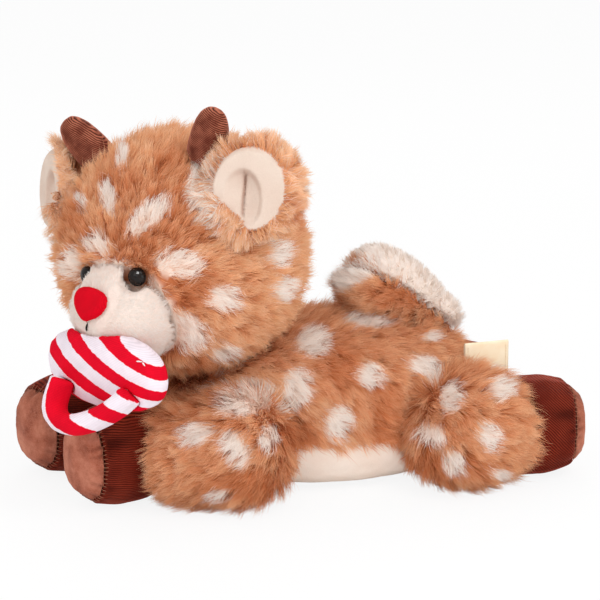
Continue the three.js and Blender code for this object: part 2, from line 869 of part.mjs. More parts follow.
// Tag: a ribbon folded over at the top, its ends sewn in at the hip.
function buildTag() {
  const leg = legs.find((one) => one.name === "rear_left");
  const holder = group(
    root,
    "tag_seam",
    [leg.along + TAG.along, leg.side * leg.aside + TAG.aside, leg.ball.height - FIT.rest - TAG.sunk],
    [0, 0, TAG.turn],
  );
  const outer = TAG.fold / 2;
  const inner = outer - TAG.ply;
  const straight = TAG.height - outer;
  const outline = new THREE.Shape();
  outline.moveTo(-outer, 0);
  outline.lineTo(-outer, straight);
  outline.absarc(0, straight, outer, Math.PI, 0, true);
  outline.lineTo(outer, 0);
  outline.lineTo(inner, 0);
  outline.lineTo(inner, straight);
  outline.absarc(0, straight, inner, 0, Math.PI, false);
  outline.lineTo(-inner, 0);
  outline.closePath();
  const form = new THREE.ExtrudeGeometry(outline, {
    depth: TAG.width,
    bevelEnabled: false,
    curveSegments: 6,
  });
  form.translate(0, 0, -TAG.width / 2).rotateX(Math.PI / 2).rotateZ(Math.PI / 2);
  const hip = toLocal(toWorld(sleeveForm(leg, -FIT.socket, FACETS.limb, socketSpare), leg.holder), holder);
  const body = toLocal(toWorld(bodyForm(-FIT.seam), bodyHolder), holder);
  add(holder, "tag", largest(lessAll(solidOf(form), [hip, body])), MATERIAL.tag());
}

for (const leg of legs) buildLeg(leg);
buildBody();
buildTail();
buildHead();
buildEye(eyeHolders[0], "left");
buildEye(eyeHolders[1], "right");
buildNose();
add(headHolder, "mouth_stitch", stitchForm(0), MATERIAL.thread());
buildEar(earHolders[0], "ear_left");
buildEar(earHolders[1], "ear_right");
buildHorn(1, "left");
buildHorn(-1, "right");
buildPacifier();
buildTag();

// The origin goes under the middle of the toy's box.
const box = new THREE.Box3().setFromObject(root, true);
root.position.set(-(box.min.x + box.max.x) / 2, -(box.min.y + box.max.y) / 2, -box.min.z);

const deer = new THREE.Group();
deer.add(root);

export default deer;
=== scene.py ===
import math

import bpy
import numpy as np
from mathutils import Matrix, Vector
from mathutils.bvhtree import BVHTree
from mathutils.kdtree import KDTree


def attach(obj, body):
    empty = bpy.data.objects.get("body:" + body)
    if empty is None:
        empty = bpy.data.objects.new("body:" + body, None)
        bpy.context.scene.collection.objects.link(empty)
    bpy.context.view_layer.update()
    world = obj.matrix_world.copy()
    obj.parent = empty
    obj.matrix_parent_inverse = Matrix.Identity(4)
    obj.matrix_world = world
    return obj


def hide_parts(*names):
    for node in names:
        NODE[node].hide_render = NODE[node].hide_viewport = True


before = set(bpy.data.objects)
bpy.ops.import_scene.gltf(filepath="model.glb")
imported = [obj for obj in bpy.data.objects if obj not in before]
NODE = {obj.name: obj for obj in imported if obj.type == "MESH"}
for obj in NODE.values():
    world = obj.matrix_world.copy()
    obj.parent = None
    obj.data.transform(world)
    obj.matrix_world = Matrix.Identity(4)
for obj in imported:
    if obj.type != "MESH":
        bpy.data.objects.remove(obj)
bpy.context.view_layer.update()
MM = 0.001

# The photograph's camera: its aim, its angles in degrees and its distance, and millimetres per
# pixel at that distance.
AIM = np.array([0.839, 1.083, 98.8]) * MM
AZIMUTH, ELEVATION, DISTANCE, PIXEL = -16.0, 14.0, 1300 * MM, 0.56 * MM
FRAME = 600
SENSOR = 36.0
SKIN_LOW, STRAND_LOW, COVER_LOW = 0.6 * MM, 0.35 * MM, 0.4 * MM  # nothing of the kind lies lower
THROUGH, SHADOW_CLEAR, BOUNCE_CLEAR = 0.3, 0.72, 0.6  # how clear a strand is for light
SPOT_DEEP = 14 * MM  # a hidden spot marks nothing that lies further along its normal


def unit(v):
    v = np.asarray(v, float)
    return v / np.maximum(np.linalg.norm(v, axis=-1, keepdims=True), 1e-12)


turn, lift = math.radians(AZIMUTH), math.radians(ELEVATION)
BACK = np.array(
    [math.sin(turn) * math.cos(lift), -math.cos(turn) * math.cos(lift), math.sin(lift)]
)
RIGHT = np.array([math.cos(turn), math.sin(turn), 0.0])
UP = np.cross(BACK, RIGHT)
EYE = AIM + BACK * DISTANCE


def pixel_of(points):
    """Where points land in the photograph's frame, in pixels from its top left."""
    d = points - EYE
    scale = DISTANCE / PIXEL / (d @ -BACK)
    return np.stack([FRAME / 2 + (d @ RIGHT) * scale, FRAME / 2 - (d @ UP) * scale], -1)


# The head's frame: its middle, and the ways that its face, its left side and its top look.
HEAD_AT = np.array([-69.56, -3.92, 132.0]) * MM
HEAD_X = np.array([-0.78080, -0.62107, -0.06802])
HEAD_Y = np.array([0.61227, -0.78229, 0.11467])
HEAD_Z = np.array([-0.12443, 0.04789, 0.99107])


def clamp(x):
    return np.clip(x, 0, 1)


# Meshes


def corners(me):
    v = np.empty(len(me.vertices) * 3)
    me.vertices.foreach_get("co", v)
    me.calc_loop_triangles()
    t = np.empty(len(me.loop_triangles) * 3, np.int64)
    me.loop_triangles.foreach_get("vertices", t)
    return v.reshape(-1, 3), t.reshape(-1, 3)


def normals_of(v, t):
    a, b, c = v[t[:, 0]], v[t[:, 1]], v[t[:, 2]]
    face = np.cross(b - a, c - a)
    out = np.zeros_like(v)
    for k in range(3):
        for axis in range(3):
            out[:, axis] += np.bincount(t[:, k], face[:, axis], len(v))
    return unit(out)


def links(t):
    """Pairs of joined points, both ways round, each once."""
    pairs = np.concatenate([t[:, [0, 1]], t[:, [1, 2]], t[:, [2, 0]]])
    pairs = np.concatenate([pairs, pairs[:, ::-1]])
    return np.unique(pairs, axis=0)


def spread(values, pairs, rounds, share=0.5):
    """Moves a value per point towards the mean of its neighbours' values."""
    count = np.maximum(np.bincount(pairs[:, 0], minlength=len(values)), 1)
    for _ in range(rounds):
        mean = np.bincount(pairs[:, 0], values[pairs[:, 1]], len(values)) / count
        values = values + (mean - values) * share
    return values


def relax(v, pairs, rounds, share=0.5):
    """Moves each point towards the middle of its neighbours."""
    return np.stack([spread(v[:, k], pairs, rounds, share) for k in range(3)], -1)


def new_object(name, me):
    obj = bpy.data.objects.new(name, me)
    bpy.context.scene.collection.objects.link(obj)
    return obj


def mesh_of(name, v, faces):
    me = bpy.data.meshes.new(name)
    me.from_pydata(np.asarray(v).tolist(), [], [tuple(int(i) for i in f) for f in faces])
    me.update()
    me.shade_smooth()
    return me


def dressed(name, me, mat, rides, replaced=()):
    """A piece of the toy, on the body that it rides, in the place of some CAD nodes."""
    obj = new_object(name, me)
    me.materials.append(mat)
    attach(obj, rides)
    if replaced:
        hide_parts(*replaced)
    return obj


def mark(me, name, values):
    """Marks a value on each point of a mesh, for its material."""
    me.attributes.new(name, "FLOAT", "POINT").data.foreach_set("value", values.astype(np.float32))


def cover(name, body, marked, mat, rides, replaced):
    """A padded piece with a body's surface, and one of the body's values marked on it."""
    obj = dressed(name, mesh_of(name, body["v"], body["t"]), mat, rides, replaced)
    mark(obj.data, marked, body[marked])


def applied(obj):
    """The surface of a scratch object with its modifiers applied. The object goes."""
    done = obj.evaluated_get(bpy.context.evaluated_depsgraph_get())
    me = bpy.data.meshes.new_from_object(done)
    bpy.data.objects.remove(obj)
    return corners(me)


def biggest(v, t):
    """Only the largest connected part of a surface."""
    pairs = links(t)
    label = np.arange(len(v))
    while True:
        low = label.copy()
        np.minimum.at(low, pairs[:, 0], label[pairs[:, 1]])
        low = low[low]
        if (low == label).all():
            break
        label = low
    span = {k: np.ptp(v[label == k], axis=0).sum() for k in np.unique(label)}
    keep = label == max(span, key=span.get)
    index = np.cumsum(keep) - 1
    return v[keep], index[t[keep[t[:, 0]]]]


def remeshed(names, voxel):
    """The outer surface round some CAD nodes, with even faces of about this size."""
    vs, ts, start = [], [], 0
    for name in names:
        v, t = corners(NODE[name].data)
        vs.append(v)
        ts.append(t + start)
        start += len(v)
    obj = new_object("scratch", mesh_of("scratch", np.concatenate(vs), np.concatenate(ts)))
    mod = obj.modifiers.new("skin", "REMESH")
    mod.mode = "VOXEL"
    mod.voxel_size = voxel
    return biggest(*applied(obj))


def inset(v, t, pairs, depth, steps=4):
    for _ in range(steps):
        v = v - normals_of(v, t) * depth / steps
        v = relax(v, pairs, 1, 0.35)
    return v


def skin(name, nodes, voxel, depth, margin=1.2 * MM, smooth=8):
    """A smooth closed surface this far under the outer face of some CAD nodes, for pile to stand
    on where the first node's face keeps a margin from its neighbours."""
    v, t = remeshed(nodes, voxel)
    pairs = links(t)
    v = inset(relax(v, pairs, smooth), t, pairs, depth)
    v[:, 2] = np.maximum(v[:, 2], SKIN_LOW)
    body = {"name": name, "v": v, "t": t, "pairs": pairs, "n": normals_of(v, t), "depth": depth}
    open_skin(body, nodes[0], margin)
    return body


def face_tree(v, t):
    return BVHTree.FromPolygons(v.tolist(), t.tolist())


def trees_of(names):
    """For each CAD node, a tree of its faces and the two corners of its box."""
    solids = [corners(NODE[name].data) for name in names]
    return [(face_tree(v, t), v.min(0), v.max(0)) for v, t in solids]


def inside(points, trees):
    """Whether each point is inside any of these solids."""
    out = np.zeros(len(points), bool)
    for tree, low, high in trees:
        near = ((points > low) & (points < high)).all(1) & ~out
        for i in np.flatnonzero(near):
            at, normal, _, _ = tree.find_nearest(points[i])
            out[i] = (Vector(points[i]) - at).dot(normal) < 0
    return out


def point_tree(points):
    tree = KDTree(len(points))
    for i, p in enumerate(points.tolist()):
        tree.insert(p, i)
    tree.balance()
    return tree


def far_from(points, others):
    """How far each point is from the nearest of the others."""
    tree = point_tree(others)
    return np.array([tree.find(p)[2] for p in points.tolist()])


def off_face(points, tree):
    """How far each point is from a surface."""
    return np.array([tree.find_nearest(p)[3] for p in points.tolist()])


def gap_to(points, tree):
    """How deep each point lies under a solid's face, and below zero outside it."""
    out = np.empty(len(points))
    for i, p in enumerate(points.tolist()):
        at, normal, _, far = tree.find_nearest(p)
        out[i] = math.copysign(far, (at - Vector(p)).dot(normal))
    return out


# Materials


class Nodes:
    """Builds one procedural material."""

    def __init__(self, name):
        self.mat = bpy.data.materials.new(name)
        self.mat.use_nodes = True
        self.tree = self.mat.node_tree
        self.shader = self.tree.nodes["Principled BSDF"]

    def put(self, kind, inputs=None, **settings):
        node = self.tree.nodes.new(kind)
        for key, value in settings.items():
            setattr(node, key, value)
        for key, value in (inputs or {}).items():
            self.join(value, node.inputs[key])
        return node

    def join(self, value, socket):
        """Links a socket to a node or an output, or sets it. A colour may leave out its alpha."""
        if isinstance(value, bpy.types.NodeSocket):
            self.tree.links.new(value, socket)
        elif isinstance(value, bpy.types.Node):
            self.tree.links.new(value.outputs[0], socket)
        elif socket.type == "RGBA" and len(value) == 3:
            socket.default_value = (*value, 1)
        else:
            socket.default_value = value

    def set(self, **sockets):
        for key, value in sockets.items():
            self.join(value, self.shader.inputs[key.replace("_", " ")])

    def show(self, shader):
        self.join(shader, self.tree.nodes["Material Output"].inputs[0])

    def ramp(self, value, *stops):
        node = self.put("ShaderNodeValToRGB", {"Fac": value})
        e = node.color_ramp.elements
        while len(e) < len(stops):
            e.new(0.5)
        for item, (at, colour) in zip(e, stops):
            item.position = at
            item.color = (*colour, 1)
        return node.outputs["Color"]

    def level(self, value, *stops):
        return self.ramp(value, *((at, (x, x, x)) for at, x in stops))

    def mix(self, share, a, b, blend="MIX"):
        """A mix of two colours, which are the node's inputs 6 and 7."""
        inputs = {0: share, 6: a, 7: b}
        return self.put("ShaderNodeMix", inputs, data_type="RGBA", blend_type=blend).outputs[2]

    def mix_shaders(self, share, a, b):
        return self.put("ShaderNodeMixShader", {0: share, 1: a, 2: b}).outputs[0]

    def math(self, kind, *values):
        return self.put("ShaderNodeMath", dict(enumerate(values)), operation=kind).outputs[0]

    def noise(self, scale, detail=2.0, at=None, rough=0.5):
        inputs = {"Scale": scale, "Detail": detail, "Roughness": rough, "Vector": at or self.place()}
        return self.put("ShaderNodeTexNoise", inputs).outputs["Fac"]

    def place(self):
        return self.put("ShaderNodeTexCoord").outputs["Object"]

    def vector(self, kind, at, by):
        return self.put("ShaderNodeVectorMath", {0: at, 1: tuple(by)}, operation=kind)

    def reach(self, at, along):
        """How far a place lies along a direction."""
        return self.vector("DOT_PRODUCT", at, along).outputs["Value"]

    def marked(self, name):
        return self.put("ShaderNodeAttribute", attribute_name=name)

    def bump(self, height, distance, strength=1.0):
        inputs = {"Height": height, "Distance": distance, "Strength": strength}
        return self.put("ShaderNodeBump", inputs).outputs["Normal"]


def shade(colour, *by):
    """A colour with its three channels multiplied, up to 1."""
    return tuple(min(1, x * k) for x, k in zip(colour, by))


# Colour ramps from a strand's root to its tip. The darker roots are partly the fur's own colour and
# partly painted shade deep in the pile.
TAN = (
    (0.0, (0.43, 0.12, 0.045)),
    (0.3, (0.75, 0.28, 0.12)),
    (0.62, (0.89, 0.45, 0.225)),
    (1.0, (0.97, 0.66, 0.43)),
)
RUSSET = (
    (0.0, (0.22, 0.048, 0.016)),
    (0.3, (0.47, 0.125, 0.042)),
    (0.62, (0.66, 0.215, 0.082)),
    (1.0, (0.86, 0.41, 0.21)),
)
CREAM_FUR = (
    (0.0, (0.84, 0.50, 0.34)),
    (0.28, (0.98, 0.79, 0.67)),
    (0.6, (0.99, 0.88, 0.79)),
    (1.0, (0.99, 0.93, 0.87)),
)
NAP = (
    (0.0, (0.93, 0.80, 0.71)),
    (0.4, (0.96, 0.86, 0.79)),
    (1.0, (0.98, 0.91, 0.86)),
)


def fur_material(name, cream=CREAM_FUR, low=0.84, high=1.08):
    """Pile: the red, green and blue of its mark say how far along, which strand and how white."""
    m = Nodes(name)
    colours = m.put("ShaderNodeSeparateColor", {"Color": m.marked("pile").outputs["Color"]})
    along, chance, white = colours.outputs
    tone = m.marked("tone").outputs["Fac"]
    tan = m.mix(tone, m.ramp(along, *RUSSET), m.ramp(along, *TAN))
    colour = m.mix(white, tan, m.ramp(along, *cream))
    colour = m.mix(1.0, colour, m.math("MULTIPLY_ADD", chance, high - low, low), "MULTIPLY")
    m.set(Base_Color=colour, Roughness=0.85, Specular_IOR_Level=0.06)
    # Strands let some light through, and hold back only a part of it from each other.
    through = m.put("ShaderNodeBsdfTranslucent", {"Color": colour}).outputs[0]
    strand = m.mix_shaders(THROUGH, m.shader.outputs[0], through)
    rays = m.put("ShaderNodeLightPath").outputs
    shadow = m.math("MULTIPLY", rays["Is Shadow Ray"], SHADOW_CLEAR)
    thin = m.math("ADD", shadow, m.math("MULTIPLY", rays["Is Diffuse Ray"], BOUNCE_CLEAR))
    m.show(m.mix_shaders(thin, strand, m.put("ShaderNodeBsdfTransparent").outputs[0]))
    return m.mat


def skin_material(name):
    m = Nodes(name)
    white = m.marked("white").outputs["Fac"]
    cloud = m.noise(260.0, 3.0)
    tan = m.ramp(cloud, (0.3, (0.42, 0.115, 0.042)), (0.7, (0.58, 0.19, 0.075)))
    cream = m.ramp(cloud, (0.3, (0.88, 0.64, 0.50)), (0.7, (0.95, 0.80, 0.70)))
    m.set(Base_Color=m.mix(white, tan, cream), Roughness=0.9, Specular_IOR_Level=0.1)
    m.set(Normal=m.bump(m.noise(900.0, 3.0), 0.0006, 0.8))
    return m.mat


def plush_material(name, dark, light):
    m = Nodes(name)
    nap = m.noise(1400.0, 4.0)
    colour = m.ramp(m.noise(55.0, 3.0), (0.25, dark), (0.75, light))
    nap_share = m.level(nap, (0.3, 0.0), (0.7, 0.3))
    colour = m.mix(nap_share, colour, shade(light, 1.08, 1.08, 1.08))
    # Painted shade: where a mould marks deep, the colour turns to a darker, shaded copy of the dark
    # colour.
    colour = m.mix(m.marked("deep").outputs["Fac"], colour, shade(dark, 0.62, 0.46, 0.42))
    m.set(Base_Color=colour, Roughness=0.9, Specular_IOR_Level=0.08)
    m.set(Normal=m.bump(nap, 0.0006, 0.6))
    return m.mat


FUR = fur_material("fur")
NAP_FUR = fur_material("cream_nap", NAP, 0.94, 1.04)
MUZZLE_NAP = fur_material("muzzle_nap", NAP, 0.84, 0.92)
SKIN = skin_material("fur_backing")

# White spots

# Centres, half widths and turns, in pixels of the photograph and degrees, of the white spots.
SPOTS = [
    (183, 262, 25, 16, 10), (150, 211, 27, 12, -38), (94, 240, 14, 13, 0), (66, 262, 10, 18, 10),
    (107, 190, 8, 17, -12), (122, 150, 7, 12, 10), (79, 198, 6, 9, 0), (231, 300, 16, 15, 20),
    (286, 253, 11, 15, 20), (291, 289, 10, 14, 20), (209, 214, 9, 8, 0), (187, 336, 25, 19, 10),
    (230, 356, 15, 8, -15), (203, 172, 12, 34, 8), (262, 226, 9, 8, 0), (276, 236, 9, 7, 0),
    (132, 295, 19, 9, 25),
    (243, 398, 34, 17, -12), (300, 391, 15, 23, 10), (317, 340, 17, 17, 20),
    (189, 436, 15, 13, 0), (231, 452, 12, 20, -35), (269, 441, 12, 15, 15), (214, 499, 14, 6, 0),
    (374, 378, 13, 14, 0), (342, 426, 13, 19, 15), (427, 366, 15, 10, 0), (437, 336, 8, 6, 0),
    (374, 317, 25, 9, 5), (455, 395, 12, 18, 15), (507, 387, 12, 13, 30), (429, 440, 18, 11, 10),
    (494, 440, 11, 15, -15), (457, 468, 13, 12, 0), (505, 476, 10, 6, 0),
]


def spotted(points, facing, chance):
    """How far inside a white spot the fur is whose tips show at these points; below 0 outside."""
    at = pixel_of(points)
    best = np.full(len(points), -9.0)
    for x, y, wide, high, angle in SPOTS:
        c, s = math.cos(math.radians(angle)), math.sin(math.radians(angle))
        d = at - (x, y)
        u, v = d[:, 0] * c + d[:, 1] * s, -d[:, 0] * s + d[:, 1] * c
        best = np.maximum(best, 1 - (u / wide) ** 2 - (v / high) ** 2)
    best = np.where(facing > 0.02, best, -9.0)
    return best + (chance - 0.5) * 0.75


def hidden_spots(body, seed, gap=33 * MM):
    """Places for spots on the sides that the photograph doesn't show, spaced by chance."""
    rng = np.random.default_rng(seed)
    v, n = body["v"], body["n"]
    away = (n @ BACK) < 0.05
    pool = np.flatnonzero(away & (body["open"] > 0.6) & (v[:, 2] > 9 * MM))
    rng.shuffle(pool)
    kept = []
    for i in pool:
        if all(np.linalg.norm(v[i] - v[k]) > gap for k in kept):
            kept.append(i)
    return [(v[i], rng.uniform(6.5, 10) * MM, rng.uniform(1.0, 1.7)) for i in kept]


def near_spots(points, up, flow, places, chance):
    """How far inside the nearest hidden spot each point is, measured along the skin."""
    best = np.full(len(points), -9.0)
    for at, radius, stretch in places:
        d = points - at
        rise = (d * up).sum(1, keepdims=True)
        d = np.where(abs(rise) < SPOT_DEEP, d - up * rise, 1)
        along = (d * flow).sum(1)
        across = np.sqrt(np.maximum((d * d).sum(1) - along**2, 0))
        best = np.maximum(best, 1 - (along / radius / stretch) ** 2 - (across / radius) ** 2)
    return best + (chance - 0.5) * 0.5


# Fur


def tangent(flow, n):
    return unit(flow - (flow * n).sum(1, keepdims=True) * n)


# A strand is a ribbon: how far up it each of its seven points lies, how wide it is there as shares
# of its width, the corners of its three faces, and where the points lie in its cell of the map.
POINT_UP = np.array([0, 0, 0.34, 0.34, 0.68, 0.68, 1.0])
TAPER = np.array([0.9, 1.0, 0.62])
CORNERS = np.array([0, 1, 3, 2, 2, 3, 5, 4, 4, 5, 6])
IN_CELL = np.array(
    [(0.15, 0.05), (0.85, 0.05), (0.15, 0.35), (0.85, 0.35), (0.15, 0.65), (0.85, 0.65), (0.5, 0.95)]
)


def ribbons(name, curve, width, up, spin, values, mat, rides):
    """Tapered ribbons along curves of four points. up is the way each ribbon's surface looks."""
    count = len(curve)
    direction = unit(curve[:, 3] - curve[:, 0])
    side = unit(np.cross(direction, up))
    over = unit(np.cross(side, direction))
    across = side * np.cos(spin)[:, None] + over * np.sin(spin)[:, None]
    flip = np.sign((np.cross(across, direction) * up).sum(1, keepdims=True))
    across = across * np.where(flip == 0, 1, flip)
    v = np.empty((count, 7, 3))
    for k in range(3):
        half = across * (width * TAPER[k] / 2)
        v[:, 2 * k] = curve[:, k] - half
        v[:, 2 * k + 1] = curve[:, k] + half
    v[:, 6] = curve[:, 3]
    me = bpy.data.meshes.new(name)
    me.vertices.add(count * 7)
    me.vertices.foreach_set("co", v.astype(np.float32).ravel())
    loops = (np.arange(count)[:, None] * 7 + CORNERS).ravel()
    me.loops.add(len(loops))
    me.loops.foreach_set("vertex_index", loops.astype(np.int32))
    starts = (np.arange(count)[:, None] * len(CORNERS) + np.array([0, 4, 8])).ravel()
    me.polygons.add(count * 3)
    me.polygons.foreach_set("loop_start", starts.astype(np.int32))
    me.update(calc_edges=True)
    me.shade_smooth()
    look = unit(up * 0.8 + unit(np.cross(across, direction)) * 0.45)  # lit nearly as the skin is
    me.normals_split_custom_set_from_vertices(np.repeat(look, 7, 0).astype(np.float32))
    data = np.ones((count, 7, 4), np.float32)
    data[:, :, 0] = values["start"] + (1 - values["start"]) * POINT_UP
    data[:, :, 1] = values["chance"][:, None]
    data[:, :, 2] = values["white"][:, None]
    pile = me.color_attributes.new("pile", "FLOAT_COLOR", "POINT")
    pile.data.foreach_set("color", data.ravel())
    mark(me, "tone", np.repeat(values["tone"], 7))
    cells = math.ceil(math.sqrt(count))
    cell = np.stack([np.arange(count) % cells, np.arange(count) // cells], -1)
    uv = (cell[:, None, :] + IN_CELL[CORNERS][None]) / cells
    me.uv_layers.new(name="OFBake").uv.foreach_set("vector", uv.astype(np.float32).ravel())
    dressed(name, me, mat, rides)


# How the pile stands, unless a place says otherwise: the strands' width, how far they lean and how
# much a tuft swings sideways in degrees, the strands to a tuft and how far they close up in it, the
# share that stands alone, and how wavy they are. start is where on the colour ramp a root begins.
PILE = {
    "width": 0.30 * MM, "lean": 54, "swing": 21, "tuft": 22, "clump": 0.58, "stray": 0.12,
    "wave": 0.6 * MM, "start": 0.0, "parts": 1, "white": None, "tone": None, "avoid": None,
}


def grow(name, body, count, length, flow, seed, rides, style, mat=FUR):
    """Covers a skin with tufted pile, of one length or of a length per point of the skin."""
    style = PILE | style
    rng = np.random.default_rng(seed)
    v, t, n = body["v"], body["t"], body["n"]
    length, flow = np.broadcast_to(length, len(v)), np.broadcast_to(flow, v.shape)
    area = np.linalg.norm(np.cross(v[t[:, 1]] - v[t[:, 0]], v[t[:, 2]] - v[t[:, 0]]), axis=1)
    area = area * clamp(body["open"][t].min(1))
    tri = rng.choice(len(t), count, p=area / area.sum())
    r1, r2 = np.sqrt(rng.random(count)), rng.random(count)
    w = np.stack([1 - r1, r1 * (1 - r2), r1 * r2], -1)[:, :, None]
    root = (v[t[tri]] * w).sum(1)
    up = unit((n[t[tri]] * w).sum(1))
    way = tangent((flow[t[tri]] * w).sum(1), up)
    size = (length[t[tri]] * w[:, :, 0]).sum(1)
    tufts = max(count // style["tuft"], 8)
    tree = point_tree(root[:tufts])
    owner = np.array([tree.find(p)[1] for p in root])
    swing = np.radians(rng.normal(0, style["swing"], tufts))
    lean = np.radians(np.clip(rng.normal(style["lean"], 9, tufts), 12, 78))
    vigour = rng.normal(1, 0.13, tufts)

    def path(i, own_swing, own_lean, own_size):
        """Four points up each strand, which bends over towards its tip."""
        across = np.cross(up[i], way[i])
        ahead = way[i] * np.cos(own_swing)[:, None] + across * np.sin(own_swing)[:, None]
        out = np.empty((len(i), 4, 3))
        for k, at in enumerate((0.0, 0.36, 0.7, 1.0)):
            rise = np.cos(own_lean) * (1.5 * at - 0.5 * at * at)
            reach = np.sin(own_lean) * (0.55 * at + 0.45 * at * at)
            out[:, k] = root[i] + own_size[:, None] * (up[i] * rise[:, None] + ahead * reach[:, None])
        return out

    jitter = lambda by: rng.normal(0, by, count)
    mine = path(
        np.arange(count),
        swing[owner] + np.radians(jitter(14)),
        np.clip(lean[owner] + np.radians(jitter(9)), 0.15, 1.4),
        size * np.clip(vigour[owner] + jitter(0.14), 0.5, 1.6),
    )
    lead = path(owner, swing[owner], lean[owner], size[owner] * np.clip(vigour[owner], 0.6, 1.4))
    hold = np.where(rng.random(count) < style["stray"], 0.0, style["clump"])
    hold = hold * rng.uniform(0.6, 1.0, count)
    share = np.array([0.0, 0.22, 0.62, 1.0])[None, :, None] * hold[:, None, None]
    curve = mine * (1 - share) + lead * share
    curl = rng.normal(0, 0.8 * style["wave"], (tufts, 2, 3))[owner] * hold[:, None, None] * 1.4
    curve[:, 1:3] += rng.normal(0, 0.5 * style["wave"], (count, 2, 3)) + curl
    curve[:, :, 2] = np.maximum(curve[:, :, 2], STRAND_LOW)
    keep = np.ones(count, bool)
    if style["avoid"]:  # strands in a neighbour are shortened, and left out if that isn't enough
        def blocked():
            hits = [inside(curve[:, k], style["avoid"]) for k in range(4)]
            return np.flatnonzero(np.any(hits, axis=0))

        hit = blocked()
        curve[hit] = root[hit, None] + (curve[hit] - root[hit, None]) * 0.5
        keep[blocked()] = False
    chance = clamp(rng.random(tufts)[owner] * 0.55 + rng.random(count) * 0.45)
    show = curve[:, 2] * 0.5 + curve[:, 3] * 0.5
    white, tone = np.zeros(count), np.ones(count)
    if style["white"] is not None:
        score = style["white"](show, up, way, rng.random(count))
        white = clamp(score / 0.4 + 0.5)
    if style["tone"] is not None:
        tone = style["tone"](show, rng.random(tufts)[owner])
    spin = rng.uniform(-0.6, 0.6, count)
    order = np.argsort(root[:, 0], kind="stable")
    order = order[keep[order]]
    for k, part in enumerate(np.array_split(order, style["parts"])):
        tag = name if style["parts"] == 1 else f"{name}_{'abcdefgh'[k]}"
        values = {"chance": chance[part], "white": white[part], "tone": tone[part]}
        values["start"] = style["start"]
        ribbons(
            tag, curve[part], style["width"], up[part], spin[part], values, mat, rides
        )


def furred(body, rides, replaced, count, length, flow, seed, style):
    """A padded skin, and its pile, which has the skin's name with pile in place of skin."""
    cover(body["name"], body, "white", SKIN, rides, replaced)
    grow(body["name"].replace("skin", "pile"), body, count, length, flow, seed, rides, style)


# Where the tan is darker, and where painted light makes it paler in the shade under the head, in pixels
# of the photograph: middles and half widths.
DARK_PATCHES = [
    (140, 236, 46, 30), (118, 178, 26, 30), (172, 205, 46, 40), (203, 291, 30, 24),
    (176, 158, 26, 22), (206, 232, 24, 14), (70, 214, 20, 30), (168, 300, 16, 14),
    (204, 372, 26, 12), (300, 214, 14, 22), (388, 425, 18, 50), (250, 490, 60, 16),
    (300, 440, 24, 16), (440, 470, 60, 14), (398, 294, 38, 16), (345, 365, 20, 30),
]
PAINTED_LIGHT_PATCHES = [(266, 396, 44, 36), (212, 345, 20, 16)]


def patch(at, patches):
    """How far inside the nearest of some pixel ellipses each point is, up to 1 at a centre."""
    best = np.full(len(at), -9.0)
    for x, y, wide, high in patches:
        best = np.maximum(best, 1 - ((at[:, 0] - x) / wide) ** 2 - ((at[:, 1] - y) / high) ** 2)
    return best


def tones(base):
    """How light the tan is at a place, from russet to light tan, in patches; the paler patches are
    painted light in the shade under the head.
    """
    def tone(points, chance):
        at = pixel_of(points)
        dark = np.clip(patch(at, DARK_PATCHES), -0.3, 1) * 0.7
        # painted light: the tan is lifted where shade falls under the head
        painted_light = clamp(patch(at, PAINTED_LIGHT_PATCHES)) * 0.8
        return clamp(base - dark + painted_light + (chance - 0.5) * 0.7)

    return tone


# The solids that pile keeps out of.
NEIGHBOURS = [
    "body_fur", "belly_panel", "head_fur", "muzzle", "horn_left", "horn_right",
    "ear_left_lining", "ear_left_back", "ear_right_lining", "ear_right_back",
    "tail_lining", "tail_fur",
] + [
    f"{end}_{side}_{part}"
    for end in ("front", "rear")
    for side in ("left", "right")
    for part in ("leg_fur", "hoof_side", "hoof_sole")
]


def open_skin(body, own, margin):
    """Marks where a skin meets no neighbour, so that pile can stand there."""
    trees = trees_of([name for name in NEIGHBOURS if name != own])
    shut = inside(body["v"] + body["n"] * (body["depth"] + margin), trees)
    shut |= inside(body["v"] + body["n"] * (body["depth"] - margin), trees)
    low = body["v"][:, 2] + body["n"][:, 2] * body["depth"] < 0.4 * MM
    blocked = spread((shut | low).astype(float), body["pairs"], 1) * 1.4
    body["open"] = clamp(1 - blocked)


def whiten(body, flow, places):
    """The mark of white spots on a skin and the test that its pile uses."""
    def test(points, up, way, chance):
        seen = spotted(points, up @ BACK, chance)
        rest = near_spots(points, up, way, places, chance)
        return np.maximum(seen, np.where(up @ BACK > 0.05, -9.0, rest))

    tips = body["v"] + body["n"] * 6 * MM + tangent(flow, body["n"]) * 5 * MM
    score = test(tips, body["n"], tangent(flow, body["n"]), np.full(len(tips), 0.5))
    body["white"] = clamp(score / 0.3 + 0.5)
    return test


# Body

DEPTH = 5 * MM  # how far a skin lies under the solids' face, which is the pile's
torso = skin("body_skin", ["body_fur", "belly_panel", "body_filling"], 3.2 * MM, DEPTH)
flow = torso["n"] * [0, 0.5, 0] + [0.75, 0.0, -0.65]
test = whiten(torso, flow, hidden_spots(torso, 11))
style = {"white": test, "parts": 2, "tone": tones(0.30), "avoid": trees_of(["belly_panel"])}
furred(torso, "torso", ["body_fur", "body_filling"], 70000, 14 * MM, flow, 21, style)

# Head

